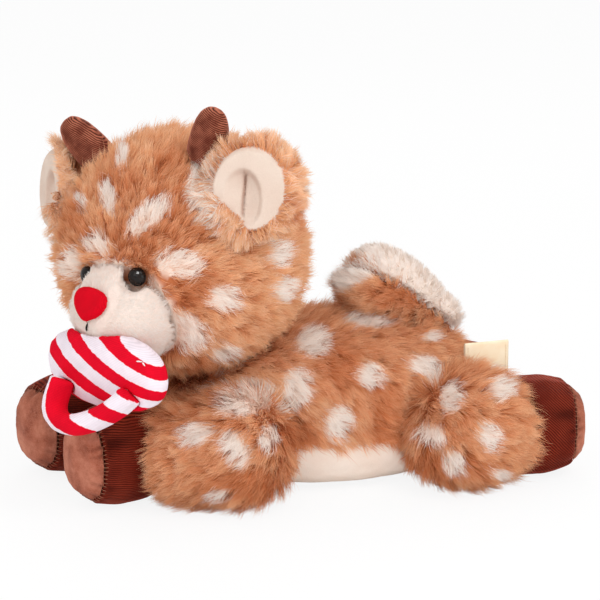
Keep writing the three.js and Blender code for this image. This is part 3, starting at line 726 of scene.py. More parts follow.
EYES = {
    "left": ([-102.61, -51.64, 131.17], [-0.57756, -0.81314, 0.07225]),
    "right": ([-123.43, -25.04, 127.27], [-0.93362, -0.35821, 0.00557]),
}
in_head = ["head_fur", "head_filling"]
head = skin("head_skin", in_head, 3.2 * MM, DEPTH, 0.3 * MM)
v = head["v"]
high = (v - HEAD_AT) @ HEAD_Z
nose_at = HEAD_AT + HEAD_X * 72 * MM - HEAD_Z * 16 * MM
from_nose = np.linalg.norm(v - nose_at, axis=1)
flow = unit(v - nose_at) + HEAD_X * -0.25
flow[:, 2] -= 0.45 * clamp(0.5 - high / (60 * MM))
length = np.clip(5.5 * MM + from_nose * 0.085, 5.5 * MM, 14.5 * MM)
for at, _ in EYES.values():  # short pile, combed away, round the eyes
    away = v - np.array(at) * MM
    far = np.linalg.norm(away, axis=1)
    length *= np.clip((far - 2 * MM) / (9 * MM), 0.42, 1)
    head["open"] = head["open"] * (far > 4.5 * MM)
    flow = flow + unit(away) * clamp(1.2 - far / (9 * MM))[:, None]
head_spots = whiten(head, flow, hidden_spots(head, 12))
muzzle_face = trees_of(["muzzle"])[0][0]


def around_muzzle(points, up, way, chance):
    """The head's own spots, and cream strands where its pile meets the muzzle."""
    near = off_face(points, muzzle_face) / MM
    return np.maximum(head_spots(points, up, way, chance), 0.55 - near / 5.5 + (chance - 0.5) * 0.8)


near = off_face(v, muzzle_face) / MM
head["white"] = np.maximum(head["white"], clamp(1.3 - near / 4))
bare_head = v[head["open"] > 0.5]
beside_head = ["muzzle", "horn_left", "horn_right", "nose", "eye_left", "eye_right"]
style = {"white": around_muzzle, "parts": 3, "tone": tones(0.78), "avoid": trees_of(beside_head)}
furred(head, "head", in_head, 105000, length, flow, 22, style)

# Legs

LEG_ROWS = {
    "front_left": ([-49.56, -49.92], [-0.94552, 0.32557]),
    "front_right": ([-61.56, 51.08], [-0.97815, -0.20791]),
    "rear_left": ([81.44, -49.92], [0.98163, 0.19081]),
    "rear_right": ([64.44, 51.08], [0.99317, -0.11667]),
}
for k, (leg, (at, along)) in enumerate(LEG_ROWS.items()):
    rides, hoof = f"{leg}_leg", [f"{leg}_hoof_side", f"{leg}_hoof_sole"]
    own = [f"{leg}_leg_fur", f"{leg}_leg_filling"]
    part = skin(f"{leg}_leg_skin", own, 3.0 * MM, DEPTH)
    v = part["v"]
    out = v - np.array([*at, 34]) * MM
    flow = np.array([*along, 0.0]) * 0.8 + unit(out * [1, 1, 0]) * 0.45
    flow[:, 2] -= 0.45
    reach = (v[:, :2] / MM - at) @ np.array(along)
    length = 13.5 * MM * np.clip((60 - reach) / 20, 0.42, 1)
    test = whiten(part, flow, hidden_spots(part, 31 + k))
    style = {"white": test, "tone": tones(0.30), "avoid": trees_of(hoof)}
    furred(part, rides, own, 33000, length, flow, 41 + k, style)

# Stuffed pieces


def swelled(v, t, pressure=4, frames=20):
    """Puffs a closed surface up with a cloth simulation, at ten times its size, where it is stable."""
    scene = bpy.context.scene
    grown = 10
    obj = new_object("scratch", mesh_of("scratch", v * grown, t))
    cloth = obj.modifiers.new("cloth", "CLOTH")
    now = cloth.settings
    now.use_pressure = True
    now.uniform_pressure_force = pressure
    now.mass = 0.3
    now.quality = 5
    now.tension_stiffness = now.compression_stiffness = now.shear_stiffness = 15
    now.bending_stiffness = 0.5
    now.shrink_min = -0.05
    now.effector_weights.gravity = 0
    cloth.point_cache.frame_start = 1
    cloth.point_cache.frame_end = frames
    for at in range(1, frames + 1):
        scene.frame_set(at)
    out = applied(obj)[0]
    scene.frame_set(1)
    return out / grown


def divided(v, t):
    obj = new_object("scratch", mesh_of("scratch", v, t))
    obj.modifiers.new("fine", "SUBSURF").levels = 1
    return applied(obj)


def stuffed(name, node, mat, rides, sizes, smooth=3, leave=0.35, mould=None):
    """A padded piece in the space of its CAD solid: shrunk, swelled by cloth, then brought back to
    the solid's face, less a little. sizes are its faces' size, the shrinking and the most that the
    cloth may swell, and leave is the little, all in millimetres."""
    voxel, shrink, cap = (x * MM for x in sizes)
    v, t = remeshed([node], voxel)
    pairs = links(t)
    v = relax(v, pairs, smooth)
    rest = inset(v, t, pairs, shrink, 2)
    out = normals_of(rest, t)
    move = swelled(rest, t) - rest
    rise = (move * out).sum(1, keepdims=True)
    slide = move - rise * out
    far = np.linalg.norm(slide, axis=1, keepdims=True)
    slide *= np.minimum(1, 0.4 * cap / np.maximum(far, 1e-9))
    move = slide + out * np.clip(rise, -0.1 * cap, cap)
    v = relax(rest + move, pairs, 1)
    tree = trees_of([node])[0][0]
    for _ in range(3):
        v = v + normals_of(v, t) * spread(gap_to(v, tree) - leave * MM, pairs, 8)[:, None]
    v, t = divided(v, t)
    # deep is painted shade from the mould, darkest in its folds, creases and hollows; without a mould
    # there is none.
    deep = np.zeros(len(v))
    if mould is not None:
        v, deep = mould(v, normals_of(v, t))
    v[:, 2] = np.maximum(v[:, 2], COVER_LOW)
    body = {"v": v, "t": t, "pairs": links(t), "n": normals_of(v, t), "deep": deep, "depth": 0}
    cover(name, body, "deep", mat, rides, [node])
    return body


def velvet_material(name, across, deep, light, pitch=1.2 * MM, crush=2.2, mottle=60.0):
    """Ribbed velvet: across is the direction across its ribs, in the object's frame."""
    m = Nodes(name)
    at = m.place()
    reach = m.math("MULTIPLY", m.reach(at, across), 1 / pitch)
    rib = m.math("PINGPONG", m.math("MULTIPLY_ADD", m.noise(70.0, 3.0, at), crush, reach), 0.5)
    cloud = m.noise(mottle, 4.0, at)
    nap = m.noise(1800.0, 3.0, at)
    colour = m.mix(m.level(rib, (0.05, 0.0), (0.42, 1.0)), shade(deep, 0.45, 0.45, 0.45), light)
    colour = m.mix(m.level(cloud, (0.38, 0.0), (0.66, 0.7)), colour, deep)
    # Painted sheen: the colour turns towards a bright glow where the cloth is seen at a grazing angle.
    face = m.put("ShaderNodeLayerWeight", {"Blend": 0.35}).outputs["Facing"]
    glow = [min(1, x * k + c) for x, k, c in zip(light, (2.0, 2.2, 2.4), (0.03, 0.008, 0.008))]
    colour = m.mix(m.level(face, (0.4, 0.0), (1.0, 0.6)), colour, glow)
    # Painted shade: darker where a mould marks its folds as deep.
    colour = m.mix(m.marked("deep").outputs["Fac"], colour, shade(deep, 0.4, 0.4, 0.4))
    m.set(Base_Color=colour, Roughness=0.65, Sheen_Weight=0.12, Sheen_Roughness=0.3)
    m.set(Sheen_Tint=(0.95, 0.4, 0.3), Specular_IOR_Level=0.05)
    m.set(Normal=m.bump(m.math("MULTIPLY_ADD", nap, 0.25, rib), 0.0008, 0.7))
    return m.mat


def suede_material(name):
    m = Nodes(name)
    at = m.place()
    cloud = m.noise(70.0, 5.0, at, 0.65)
    nap = m.noise(1500.0, 3.0, at)
    colour = m.ramp(
        cloud, (0.3, (0.20, 0.045, 0.022)), (0.48, (0.36, 0.105, 0.058)), (0.72, (0.56, 0.22, 0.14))
    )
    colour = m.mix(m.level(nap, (0.35, 0.0), (0.75, 0.35)), colour, (0.60, 0.25, 0.17))
    # Painted shade: darker where a mould marks its folds as deep.
    colour = m.mix(m.marked("deep").outputs["Fac"], colour, (0.12, 0.025, 0.012))
    m.set(Base_Color=colour, Roughness=0.75, Sheen_Weight=0.15, Sheen_Roughness=0.35)
    m.set(Sheen_Tint=(1.0, 0.7, 0.6), Specular_IOR_Level=0.1, Normal=m.bump(nap, 0.0004, 0.5))
    return m.mat


def knitted(m, colour, across, pitch):
    """Fine ribbed knit in a colour or a socket's colours. across is the direction across its ribs."""
    at = m.place()
    rib = m.math("PINGPONG", m.math("MULTIPLY", m.reach(at, across), 1 / pitch), 0.5)
    nap = m.noise(1600.0, 3.0, at)
    cloud = m.level(m.noise(90.0, 2.0, at), (0.3, 0.86), (0.7, 1.0))
    tint = m.mix(1.0, colour, cloud, "MULTIPLY")
    tint = m.mix(1.0, tint, m.level(rib, (0.0, 0.86), (0.3, 1.0)), "MULTIPLY")
    m.set(Base_Color=tint, Roughness=0.9, Specular_IOR_Level=0.05)
    m.set(Normal=m.bump(m.math("MULTIPLY_ADD", nap, 0.6, rib), 0.0003, 0.6))
    return m.mat


def polynomial(m, a, b, shares):
    """shares times 1, a, b, a squared, a times b and b squared, added up."""
    terms = (a, b, m.math("MULTIPLY", a, a), m.math("MULTIPLY", a, b), m.math("MULTIPLY", b, b))
    total = shares[0]
    for term, share in zip(terms, shares[1:]):
        total = m.math("MULTIPLY_ADD", term, share, total)
    return total


def striped_material(name, at, across, up, reach, rise, shares, first):
    """Red and white bands over a field across two directions. first is 0 or 0.5 of two bands."""
    m = Nodes(name)
    away = m.vector("SUBTRACT", m.place(), at).outputs[0]
    field = polynomial(m, m.reach(away, across / reach), m.reach(away, up / rise), shares)
    field = m.math("MULTIPLY_ADD", m.noise(400.0, 2.0), 0.16, field)
    band = m.math("FRACT", m.math("MULTIPLY_ADD", field, 0.5, first))
    edge = m.math("PINGPONG", m.math("ADD", band, 0.25), 0.5)
    red = m.level(edge, (0.24, 1.0), (0.26, 0.0))
    return knitted(m, m.mix(red, (0.93, 0.83, 0.90), (0.80, 0.003, 0.022)), up, 0.8 * MM)


THREADS = {
    "black": ((0.008, 0.007, 0.007), (0.035, 0.03, 0.028)),
    "cream": ((0.62, 0.44, 0.34), (0.86, 0.74, 0.64)),
    "tan": ((0.22, 0.075, 0.04), (0.42, 0.18, 0.11)),
    "white": ((0.80, 0.78, 0.79), (0.90, 0.88, 0.89)),
    "edge": ((0.80, 0.60, 0.38), (0.92, 0.75, 0.52)),
}


def thread_material(kind):
    m = Nodes(f"{kind}_thread")
    dark, light = THREADS[kind]
    ply = m.noise(2600.0, 3.0)
    m.set(Base_Color=m.ramp(ply, (0.3, dark), (0.7, light)), Roughness=0.8, Specular_IOR_Level=0.15)
    m.set(Normal=m.bump(ply, 0.0002, 0.6))
    return m.mat


THREAD = {kind: thread_material(kind) for kind in THREADS}


def plain_material(name, dark, light, rough, metal=0.0):
    m = Nodes(name)
    grain = m.noise(700.0, 3.0)
    m.set(Base_Color=m.ramp(grain, (0.3, dark), (0.7, light)), Roughness=rough, Metallic=metal)
    m.set(Normal=m.bump(grain, 0.0002, 0.3))
    return m.mat


def crossways(axis, to=(0, 0, 1.0)):
    """Two directions at right angles to an axis and to each other."""
    one = unit(np.cross(axis, to))
    return one, np.cross(axis, one)


def puckered(at, axis, place, reach, depth, folds, fold_at=None):
    """Gathers a surface into small folds beside a seam that goes round an axis, and paints shade into the
    folds.
    """
    axis = unit(axis)
    one, two = crossways(axis)

    def mould(v, n):
        d = v - np.asarray(at)
        along = d @ axis - place
        angle = np.arctan2(d @ two, d @ one)
        wave = np.cos(folds * angle + 1.4 * np.sin(3 * angle + 1) + 0.9 * np.sin(7 * angle))
        near = np.exp(-((along / reach) ** 2)) * (0.7 + 0.3 * np.sin(5 * angle + 2))
        down = near * (0.25 + 0.75 * (0.5 + 0.5 * wave) ** 2)
        if fold_at is not None:
            turned_by = (angle - fold_at + np.pi) % (2 * np.pi) - np.pi
            crest = np.exp(-((turned_by / 0.16) ** 2)) * np.exp(-((along / (3.2 * reach)) ** 2))
            down = np.maximum(down, 1.3 * crest)
        side = clamp(1.6 * np.linalg.norm(np.cross(n, axis), axis=1) - 0.3)
        # The second value is painted shade, darkest in the folds.
        return v - n * (down * depth * side)[:, None], clamp(down * side) * 0.75

    return mould


def threads(name, rows, radius, kind, rides, replaced=()):
    """Short bowed threads: each row is its two ends and the way that it bows, in metres."""
    sides, steps = 6, 5
    around = [(i, (i + 1) % sides) for i in range(sides)]
    vs, faces = [], []
    for a, b, up in rows:
        a, b, up = np.asarray(a, float), np.asarray(b, float), unit(up)
        way = unit(b - a)
        side = unit(np.cross(way, up))
        up = np.cross(side, way)
        base = len(vs)
        for k in range(steps + 1):
            swell = math.sin(math.pi * k / steps)
            middle = a + (b - a) * k / steps + up * swell * radius * 1.3
            size = radius * (0.55 + 0.45 * max(swell, 0) ** 0.5)
            for i in range(sides):
                turn_by = 2 * math.pi * (i / sides + k / steps * 0.35)
                vs.append(middle + (side * math.cos(turn_by) + up * math.sin(turn_by)) * size)
        vs += [a, b]
        for k in range(steps):
            p = base + k * sides
            faces += [(p + i, p + n, p + sides + n, p + sides + i) for i, n in around]
        last = base + steps * sides
        end = last + sides
        for i, n in around:
            faces += [(end, base + n, base + i), (end + 1, last + i, last + n)]
    dressed(name, mesh_of(name, vs, faces), THREAD[kind], rides, replaced)


def turned(name, at, axis, outline, mat, rides, replaced):
    """A form of revolution: outline lists how far along the axis and how wide, in metres."""
    axis = unit(axis)
    one, two = crossways(axis, (0, 0.1, 1))
    sides = 48
    v, faces = [np.array(at) + axis * outline[0][0]], []
    for along, radius in outline[1:-1]:
        for k in range(sides):
            a = 2 * math.pi * k / sides
            way = one * math.cos(a) + two * math.sin(a)
            v.append(np.array(at) + axis * along + way * radius)
    v.append(np.array(at) + axis * outline[-1][0])
    last = len(v) - 1
    for k in range(sides):
        n = (k + 1) % sides
        faces += [(0, 1 + n, 1 + k), (last, last - sides + k, last - sides + n)]
        for a in range(1, last - sides, sides):
            faces.append((a + k, a + n, a + sides + n, a + sides + k))
    dressed(name, mesh_of(name, v, faces), mat, rides, replaced)


# Muzzle, nose and mouth


def all_white(points, up, way, chance):
    return np.ones(len(points))


MUZZLE = plush_material("muzzle_plush", (0.78, 0.63, 0.55), (0.84, 0.73, 0.66))
muzzle = stuffed("muzzle_cover", "muzzle", MUZZLE, "head", (2.0, 1.4, 1.5))
open_skin(muzzle, "muzzle", 0.15 * MM)
flow = unit(muzzle["v"] - nose_at) - HEAD_X * 0.3
beside = clamp(1 - far_from(muzzle["v"], bare_head) / (7 * MM))
style = {
    "white": all_white, "lean": 62, "width": 0.3 * MM, "wave": 0.15 * MM,
    "avoid": trees_of(["nose", "pacifier_shield", "eye_left", "eye_right"]),
}
length = 2.2 * MM + 3.4 * MM * beside
grow("muzzle_nap", muzzle, 16000, length, flow, 75, "head", style, MUZZLE_NAP)

NOSE_KNIT = knitted(Nodes("nose_knit"), (0.70, 0.001, 0.013), HEAD_Y, 0.75 * MM)
nose = stuffed("nose_pad", "nose", NOSE_KNIT, "head", (0.8, 0.5, 0.7), 2, 0.2)


def on_muzzle(point):
    at, normal = muzzle_face.find_nearest(point.tolist())[:2]
    return np.array(at) + np.array(normal) * 0.3 * MM


v = corners(NODE["mouth_stitch"].data)[0]
middle = v.mean(0)
long_way = np.linalg.svd(v - middle)[2][0]
half = np.ptp((v - middle) @ long_way) / 2
ends = [on_muzzle(middle + long_way * half * end) for end in (-1, 1)]
threads("mouth_thread", [(*ends, HEAD_X)], 0.55 * MM, "black", "head", ["mouth_stitch"])


def nose_stitches(count=30, reach=1.1 * MM):
    """Short threads that hem the nose to the muzzle, evenly round its edge."""
    edge = nose["v"][off_face(nose["v"], muzzle_face) < 1.0 * MM]
    middle = nose["v"].mean(0)
    angle = np.arctan2((edge - middle) @ HEAD_Z, (edge - middle) @ HEAD_Y)
    rows = []
    for at in np.linspace(-math.pi, math.pi, count, endpoint=False):
        near = edge[np.abs(angle - at) < math.pi / count]
        if len(near):
            rim = near[np.linalg.norm(near - middle, axis=1).argmax()]
            out = unit(rim - middle)
            base = on_muzzle(rim + out * reach * 0.6)
            rows.append((rim - out * reach * 0.5 + HEAD_X * 0.5 * MM, base, HEAD_X))
    return rows


threads("nose_thread", nose_stitches(), 0.17 * MM, "cream", "head")

# Horns

HORN_DARK, HORN_LIGHT, HORN_RIBS = (0.085, 0.010, 0.004), (0.50, 0.155, 0.09), (0.35, -0.3, 0.89)
for side in ("left", "right"):
    cloth = velvet_material(
        f"horn_velvet_{side}", HORN_RIBS, HORN_DARK, HORN_LIGHT, 0.9 * MM, 3.6, 150.0
    )
    horn = f"horn_{side}"
    stuffed(f"{horn}_cover", horn, cloth, "head", (1.5, 1.0, 1.1))

# Ears

EAR_FRAMES = {
    "left": ([-56.85, -58.87, 164.5], [-0.35616, -0.91090, 0.20833], [0.75031, -0.14590, 0.64479], 1),
    "right": ([-123.59, 26.40, 152.0], [-0.99098, -0.09981, 0.08944], [-0.04254, 0.86711, 0.49630], -1),
}
EAR_MIDDLE = 17.3 * MM  # up the ear from its root

# The lining's shape is worked out in millimetres across and up as the photograph shows the near ear.
EAR_TURN = math.radians(50)
RIM_HIGH, HOLLOW, FLAP = 8.4, 5.6, 3.4  # how far the rim stands out, and how deep the hollow goes
CREASE_AT, CREASE_HALF, CREASE_MIDDLE = -3.0, 11.5, -2.5


def ear_place(points, at, face, rise, hand):
    side = np.cross(rise, face) * hand
    d = points - at
    y, z = (d @ side) / MM, (d @ rise - EAR_MIDDLE) / MM
    c, s = math.cos(EAR_TURN), math.sin(EAR_TURN)
    return y * c + z * s, z * c - y * s, (d @ face) / MM


def smooth_step(x):
    x = clamp(x)
    return x * x * (3 - 2 * x)


def ear_bowl(at, face, rise, hand):
    """A broad rolled rim, a hollow in front of it, and a crease where the lining is tucked, with painted
    shade in the crease, on the flap beside it and under the rim.
    """
    def mould(v, n):
        p, q, low = ear_place(v, at, face, rise, hand)
        front = clamp((n @ face) * 3)
        off = p - CREASE_AT
        right = clamp(off / 12) ** 1.4
        left = clamp(-off / 11)
        rim = np.hypot((p + 3.5) / 10.8, (q + 5) / 16.5)
        deep = np.where(off >= 0, HOLLOW * (1 - right), FLAP * (1 - left) ** 1.2)
        deep = deep * smooth_step((1.03 - rim) / 0.25) * smooth_step((q + 20) / 12)
        inside_rim = clamp((1.12 - np.hypot(p / 21, q / 23)) / 0.25)
        ends = smooth_step((CREASE_HALF + 1 - np.abs(q - CREASE_MIDDLE)) / 3.5)
        groove = np.exp(-(((off - 0.7 * np.sin(q / 6)) / 0.7) ** 2)) * ends
        moved = np.clip(RIM_HIGH - deep - low, -1.5, 6) * inside_rim - 1.3 * groove
        moved = np.maximum(moved, np.minimum(0, 1.1 - low))
        # Painted shade: on the flap beside the crease and just right of it, stronger towards the top, a
        # painted shadow under the rim's wall, and shade in the groove.
        high = clamp(0.3 + q / 12)
        shade = np.where(off >= 0, 0.3 * np.exp(-off / 2.0), 0.45 * np.exp(off / 7.0)) * high * (rim < 1)
        wall_shadow = np.exp(-(((rim - 0.88) / 0.13) ** 2)) * clamp(0.1 + q / 12 + p / 40) * 0.45
        shade = np.maximum(np.maximum(shade * smooth_step((1 - rim) / 0.2), wall_shadow), 0.8 * groove)
        return v + face * (front * moved * MM)[:, None], clamp(shade * front)

    return mould


def rim_white(points, up, way, chance):
    """Pale strands here and there in front of the near ear, few elsewhere."""
    at = pixel_of(points)
    near = clamp((222 - at[:, 0]) / 14) * (up @ BACK > 0) * (at[:, 0] > 150)
    return (chance - 0.93 + 0.5 * near) * 1.2


FOOT_BREAK = -4.2  # where the edge of the head's pile over the near ear's foot bends
LINING = plush_material("ear_plush", (0.66, 0.50, 0.41), (0.74, 0.61, 0.52))
for k, (side, (at, face, rise, hand)) in enumerate(EAR_FRAMES.items()):
    at, face, rise = np.array(at) * MM, np.array(face), np.array(rise)
    rides = f"ear_{side}"
    lining = stuffed(
        f"{rides}_plush", f"{rides}_lining", LINING, rides, (1.2, 0.6, 0.8), 2,
        mould=ear_bowl(at, face, rise, hand),
    )
    back = skin(f"{rides}_skin", [f"{rides}_back"], 1.8 * MM, 1.6 * MM, 0.6 * MM, 4)
    v = back["v"]
    middle = at + rise * EAR_MIDDLE

    def outward(points):
        out = points - middle
        return unit(out - (out @ face)[:, None] * face)

    flow = outward(v) * 0.9 + rise * 0.35
    test = whiten(back, flow, hidden_spots(back, 51 + k))
    size = 10 * MM
    if side == "right":
        size = size * np.clip((pixel_of(v)[:, 0] - 34) / 30, 0.3, 1)
    style = {"white": test, "lean": 42, "tuft": 16, "tone": tones(0.8)}
    furred(back, rides, [f"{rides}_back"], 14000, size, flow, 61 + 2 * k, style)

    p, q, _ = ear_place(lining["v"], at, face, rise, hand)
    rim = np.hypot(p / 18.3, (q - 1.2) / 21.0)
    bare = clamp((rim - 0.97) / 0.06) * ((lining["n"] @ face) > -0.3)
    if side == "left":  # the near ear's foot is in the head's pile
        line = np.where(p < FOOT_BREAK, -1.1 - 0.88 * (p + 18.2), -13.4 - 1.34 * (p - FOOT_BREAK))
        bare = np.maximum(bare, clamp((line - q) / 1.5) * (p < 2.5))
    else:  # the far ear's outer rim shows bare, and its foot is in the head's pile
        shown = pixel_of(lining["v"])
        bare = clamp(bare + (shown[:, 1] > 204)) * (shown[:, 0] > 56)
    style |= {
        "lean": 52, "swing": 34, "white": rim_white, "tuft": 36, "start": 0.4, "tone": tones(0.95)
    }
    rim_flow = outward(lining["v"]) + face * 0.25
    edge = lining | {"open": bare}
    grow(f"{rides}_rim_pile", edge, 10000, 9.5 * MM, rim_flow, 62 + 2 * k, rides, style)

# Tail

TAIL_X, TAIL_Z = np.array([-0.83867, 0, 0.54464]), np.array([-0.54464, 0, -0.83867])
TAIL_PLUSH = plush_material("tail_plush", (0.90, 0.76, 0.66), (0.96, 0.87, 0.80))
lining = stuffed(
    "tail_plush", "tail_lining", TAIL_PLUSH, "tail", (2.0, 1.0, 1.2), 4
)
open_skin(lining, "tail_lining", 0.2 * MM)
tail_back = corners(NODE["tail_fur"].data)[0]
length = 4.8 * MM + 3.5 * MM * clamp(1 - far_from(lining["v"], tail_back) / (5 * MM))
style = {"white": all_white, "lean": 34, "width": 0.34 * MM, "wave": 0.2 * MM}
flow = TAIL_X - TAIL_Z * 0.3
grow("tail_nap", lining, 16000, length, flow, 73, "tail", style, NAP_FUR)
back = skin("tail_skin", ["tail_fur"], 2.2 * MM, 2.6 * MM, 0.3 * MM, 5)
flow = TAIL_X + TAIL_Z * 0.35
# Where the cream starts, in pixels of the photograph, from left to right.
TAIL_EDGE = [
    (300, 300), (345, 288), (362, 280), (378, 266), (400, 272), (423, 283), (439, 301), (455, 312),
    (500, 340),
]


def tail_cream(points, up, way, chance):
    """Cream above the line that the photograph shows on the tail's near side."""
    at = pixel_of(points)
    edge = np.interp(at[:, 0], *zip(*TAIL_EDGE))
    return np.where(up @ BACK > -0.1, (edge - at[:, 1]) / 9, -1) + (chance - 0.5) * 0.7


tips = back["v"] + back["n"] * 3 * MM
cream = tail_cream(tips, back["n"], flow, np.full(len(tips), 0.5))
back["white"] = clamp(cream + 0.5)
style = {"white": tail_cream, "lean": 44, "tone": tones(0.45)}
furred(back, "tail", ["tail_fur"], 22000, 12.5 * MM, flow, 71, style)

# Belly and hooves

BELLY = plush_material("belly_plush", (0.83, 0.66, 0.55), (0.89, 0.78, 0.69))
stuffed("belly_cover", "belly_panel", BELLY, "torso", (2.4, 0.6, 0.8))

SUEDE = suede_material("hoof_suede")
HOOVES = {
    "front_left": ([-114.80, -27.45, 27.7], [-0.94552, -0.32557], (0.10, -0.05, 0.99)),
    "front_right": ([-130.03, 36.53, 27.7], [-0.92050, -0.39073], (0.10, -0.05, 0.99)),
    "rear_left": ([131.50, -40.19, 27.7], [0.99756, -0.06976], (0.7, 0.0, 0.72)),
    "rear_right": ([114.10, 45.25, 27.7], [0.99792, -0.06453], (0.7, 0.0, 0.72)),
}
SEAM = 13.9 * MM  # from a hoof's middle to the seam of its sole


def hoof_stitches(at, axis, side, sole):
    """Where the thread crosses the seam between a hoof's side and its sole."""
    one, two = crossways(axis)
    trees = [face_tree(x["v"], x["t"]) for x in (side, sole)]
    rows = []
    for k in range(56):
        angle = 2 * math.pi * k / 56
        way = one * math.cos(angle) + two * math.sin(angle)
        ends = []
        for tree, place in zip(trees, (-1.2 * MM, 1.4 * MM)):
            start = at + axis * (SEAM + place) + way * 60 * MM
            hit = tree.ray_cast(start, -way)[0]
            ends.append(None if hit is None else np.array(hit) - way * 0.15 * MM)
        if ends[0] is not None and ends[1] is not None and min(e[2] for e in ends) > 1.5 * MM:
            rows.append((*ends, way))
    return rows


for leg, (at, toe, ribs) in HOOVES.items():
    rides = f"{leg}_leg"
    at, axis = np.array(at) * MM, unit(np.array([*toe, 0.0]))
    one, two = crossways(axis)
    tuck = unit(BACK * [1, 1, 0]) * 0.9 + np.array([0, 0, 0.45])
    fold = math.atan2(tuck @ two, tuck @ one)
    cloth = velvet_material(f"{leg}_velvet", ribs, (0.10, 0.008, 0.003), (0.27, 0.034, 0.015))
    gather = puckered(at, axis, SEAM, 5.0 * MM, 1.4 * MM, 17, fold)
    side = stuffed(
        f"{leg}_hoof_velvet", f"{leg}_hoof_side", cloth, rides, (1.8, 1.2, 1.3),
        mould=gather,
    )
    gather = puckered(at, axis, SEAM, 5.5 * MM, 1.5 * MM, 17)
    sole = stuffed(
        f"{leg}_hoof_suede", f"{leg}_hoof_sole", SUEDE, rides, (1.4, 0.8, 1.0),
        mould=gather,
    )
    threads(f"{leg}_hoof_thread", hoof_stitches(at, axis, side, sole), 0.2 * MM, "tan", rides)

# Pacifier

# The bands' middle, and their directions, which are the shield's own.
BAND_AT = np.array([-120.63, -55.29, 84.68]) * MM
BAND_X = np.array([-0.78757, -0.61622, 0.00128])
BAND_Y = np.array([0.60944, -0.77921, -0.14635])
BAND_Z = np.array([0.09118, -0.11448, 0.98923])
RING_AT = BAND_AT + (8.5 * BAND_X - 3 * BAND_Y - 12 * BAND_Z) * MM
RING_DOWN = BAND_X * math.sin(math.radians(22)) - BAND_Z * math.cos(math.radians(22))
SHIELD_KNIT = striped_material(
    "shield_knit", BAND_AT, BAND_Y, BAND_Z, 40 * MM, 18 * MM, (4.05, -1.70, -2.38, 0.36, -0.625, 0.0), 0.0
)
RING_KNIT = striped_material(
    "ring_knit", RING_AT, BAND_Y, RING_DOWN, 30 * MM, 30 * MM,
    (1.915, 2.709, -1.183, -1.103, -2.573, -1.394), 0.5,
)
shield = stuffed(
    "shield_cover", "pacifier_shield", SHIELD_KNIT, "pacifier", (1.5, 1.2, 1.4)
)


def loose_end(start, stop):
    """A thread end that stands on the shield between two pixels of the photograph."""
    ends = []
    for pixel in (start, stop):
        far = np.hypot(*(pixel_of(shield["v"]) - pixel).T) + FRAME * ((shield["n"] @ BACK) < 0.1)
        near = far.argmin()
        ends.append(shield["v"][near] + shield["n"][near] * 0.3 * MM)
    return *ends, shield["n"][near]


loose = [loose_end((137, 361), (142, 362)), loose_end((143, 362), (145.5, 366))]
threads("shield_thread", loose, 0.42 * MM, "white", "pacifier")
stuffed(
    "ring_cover", "pacifier_ring", RING_KNIT, "pacifier", (1.2, 0.8, 1.0),
    leave=0.1,
)

# Tag

# A satin ribbon, folded over, with a row of stitches along each edge.
TAG_AT, TAG_WAY = np.array([100.44, -30.92, 55.7]) * MM, np.array([0.99756, 0.06976, 0])
TAG_OUT = np.cross(TAG_WAY, [0, 0, 1.0])
TAG_WIDTH, TAG_HEIGHT, TAG_FOLD, TAG_PLY = 26.6 * MM, 20 * MM, 2.2 * MM, 0.45 * MM
TAG_FOOT = 1.5 * MM


def folded_ribbon(name, mat):
    radius = (TAG_FOLD - TAG_PLY) / 2 - 0.05 * MM
    top = TAG_HEIGHT - TAG_FOLD / 2
    path = [(-radius, z, -1, 0) for z in np.linspace(TAG_FOOT, top, 12)]
    path += [
        (-radius * math.cos(a), top + radius * math.sin(a), -math.cos(a), math.sin(a))
        for a in np.linspace(0, math.pi, 9)[1:-1]
    ]
    path += [(radius, z, 1, 0) for z in np.linspace(top, TAG_FOOT, 12)]
    steps, rows = 28, []
    for layer in (1, -1):
        for y, z, ny, nz in path:
            for k in range(steps + 1):
                x = (k / steps - 0.5) * TAG_WIDTH
                edge = 1 - 0.25 * (abs(x) / (TAG_WIDTH + 0.4 * MM) * 2) ** 12
                bow = 0.18 * MM * math.sin(x / (4.2 * MM) + 0.6) * (z / top)
                half = layer * TAG_PLY / 2 * edge
                place = TAG_WAY * x + TAG_OUT * (y + ny * half + bow)
                rows.append(TAG_AT + place + np.array([0, 0, z + nz * half]))
    n, w = len(path), steps + 1
    under = n * w
    faces = []
    for i in range(n - 1):
        for a in range(i * w, i * w + steps):
            b = under + a
            faces += [(a, a + 1, a + w + 1, a + w), (b, b + w, b + w + 1, b + 1)]
        a, b = i * w, under + i * w
        faces.append((a, a + w, b + w, b))
        faces.append((a + steps, b + steps, b + w + steps, a + w + steps))
    for a in range(steps):
        b = under + a
        faces.append((a, b, b + 1, a + 1))
        a, b = a + (n - 1) * w, b + (n - 1) * w
        faces.append((a, a + 1, b + 1, b))
    obj = dressed(name, mesh_of(name, rows, faces), mat, "torso", ["tag"])


m = Nodes("tag_satin")
at = m.place()
weave = m.math("PINGPONG", m.math("MULTIPLY", m.reach(at, TAG_WAY), 1 / (0.5 * MM)), 0.5)
satin = m.ramp(m.noise(120.0, 3.0, at), (0.3, (0.93, 0.74, 0.50)), (0.7, (0.97, 0.84, 0.63)))
m.set(Base_Color=m.mix(1.0, satin, m.level(weave, (0.0, 0.93), (0.3, 1.0)), "MULTIPLY"))
m.set(Roughness=0.5, Specular_IOR_Level=0.3, Normal=m.bump(weave, 0.0001, 0.4))
folded_ribbon("tag_ribbon", m.mat)
rows = []
for x in (-11.6 * MM, 11.6 * MM):
    base = TAG_AT + TAG_WAY * x + TAG_OUT * (TAG_FOLD / 2 + 0.02 * MM)
    for z in np.arange(3.0, 17.6, 1.7) * MM:
        rows.append((base + [0, 0, z], base + [0, 0, z + 1.2 * MM], TAG_OUT))
threads("tag_thread", rows, 0.16 * MM, "edge", "torso")

# Eyes, washers and magnets

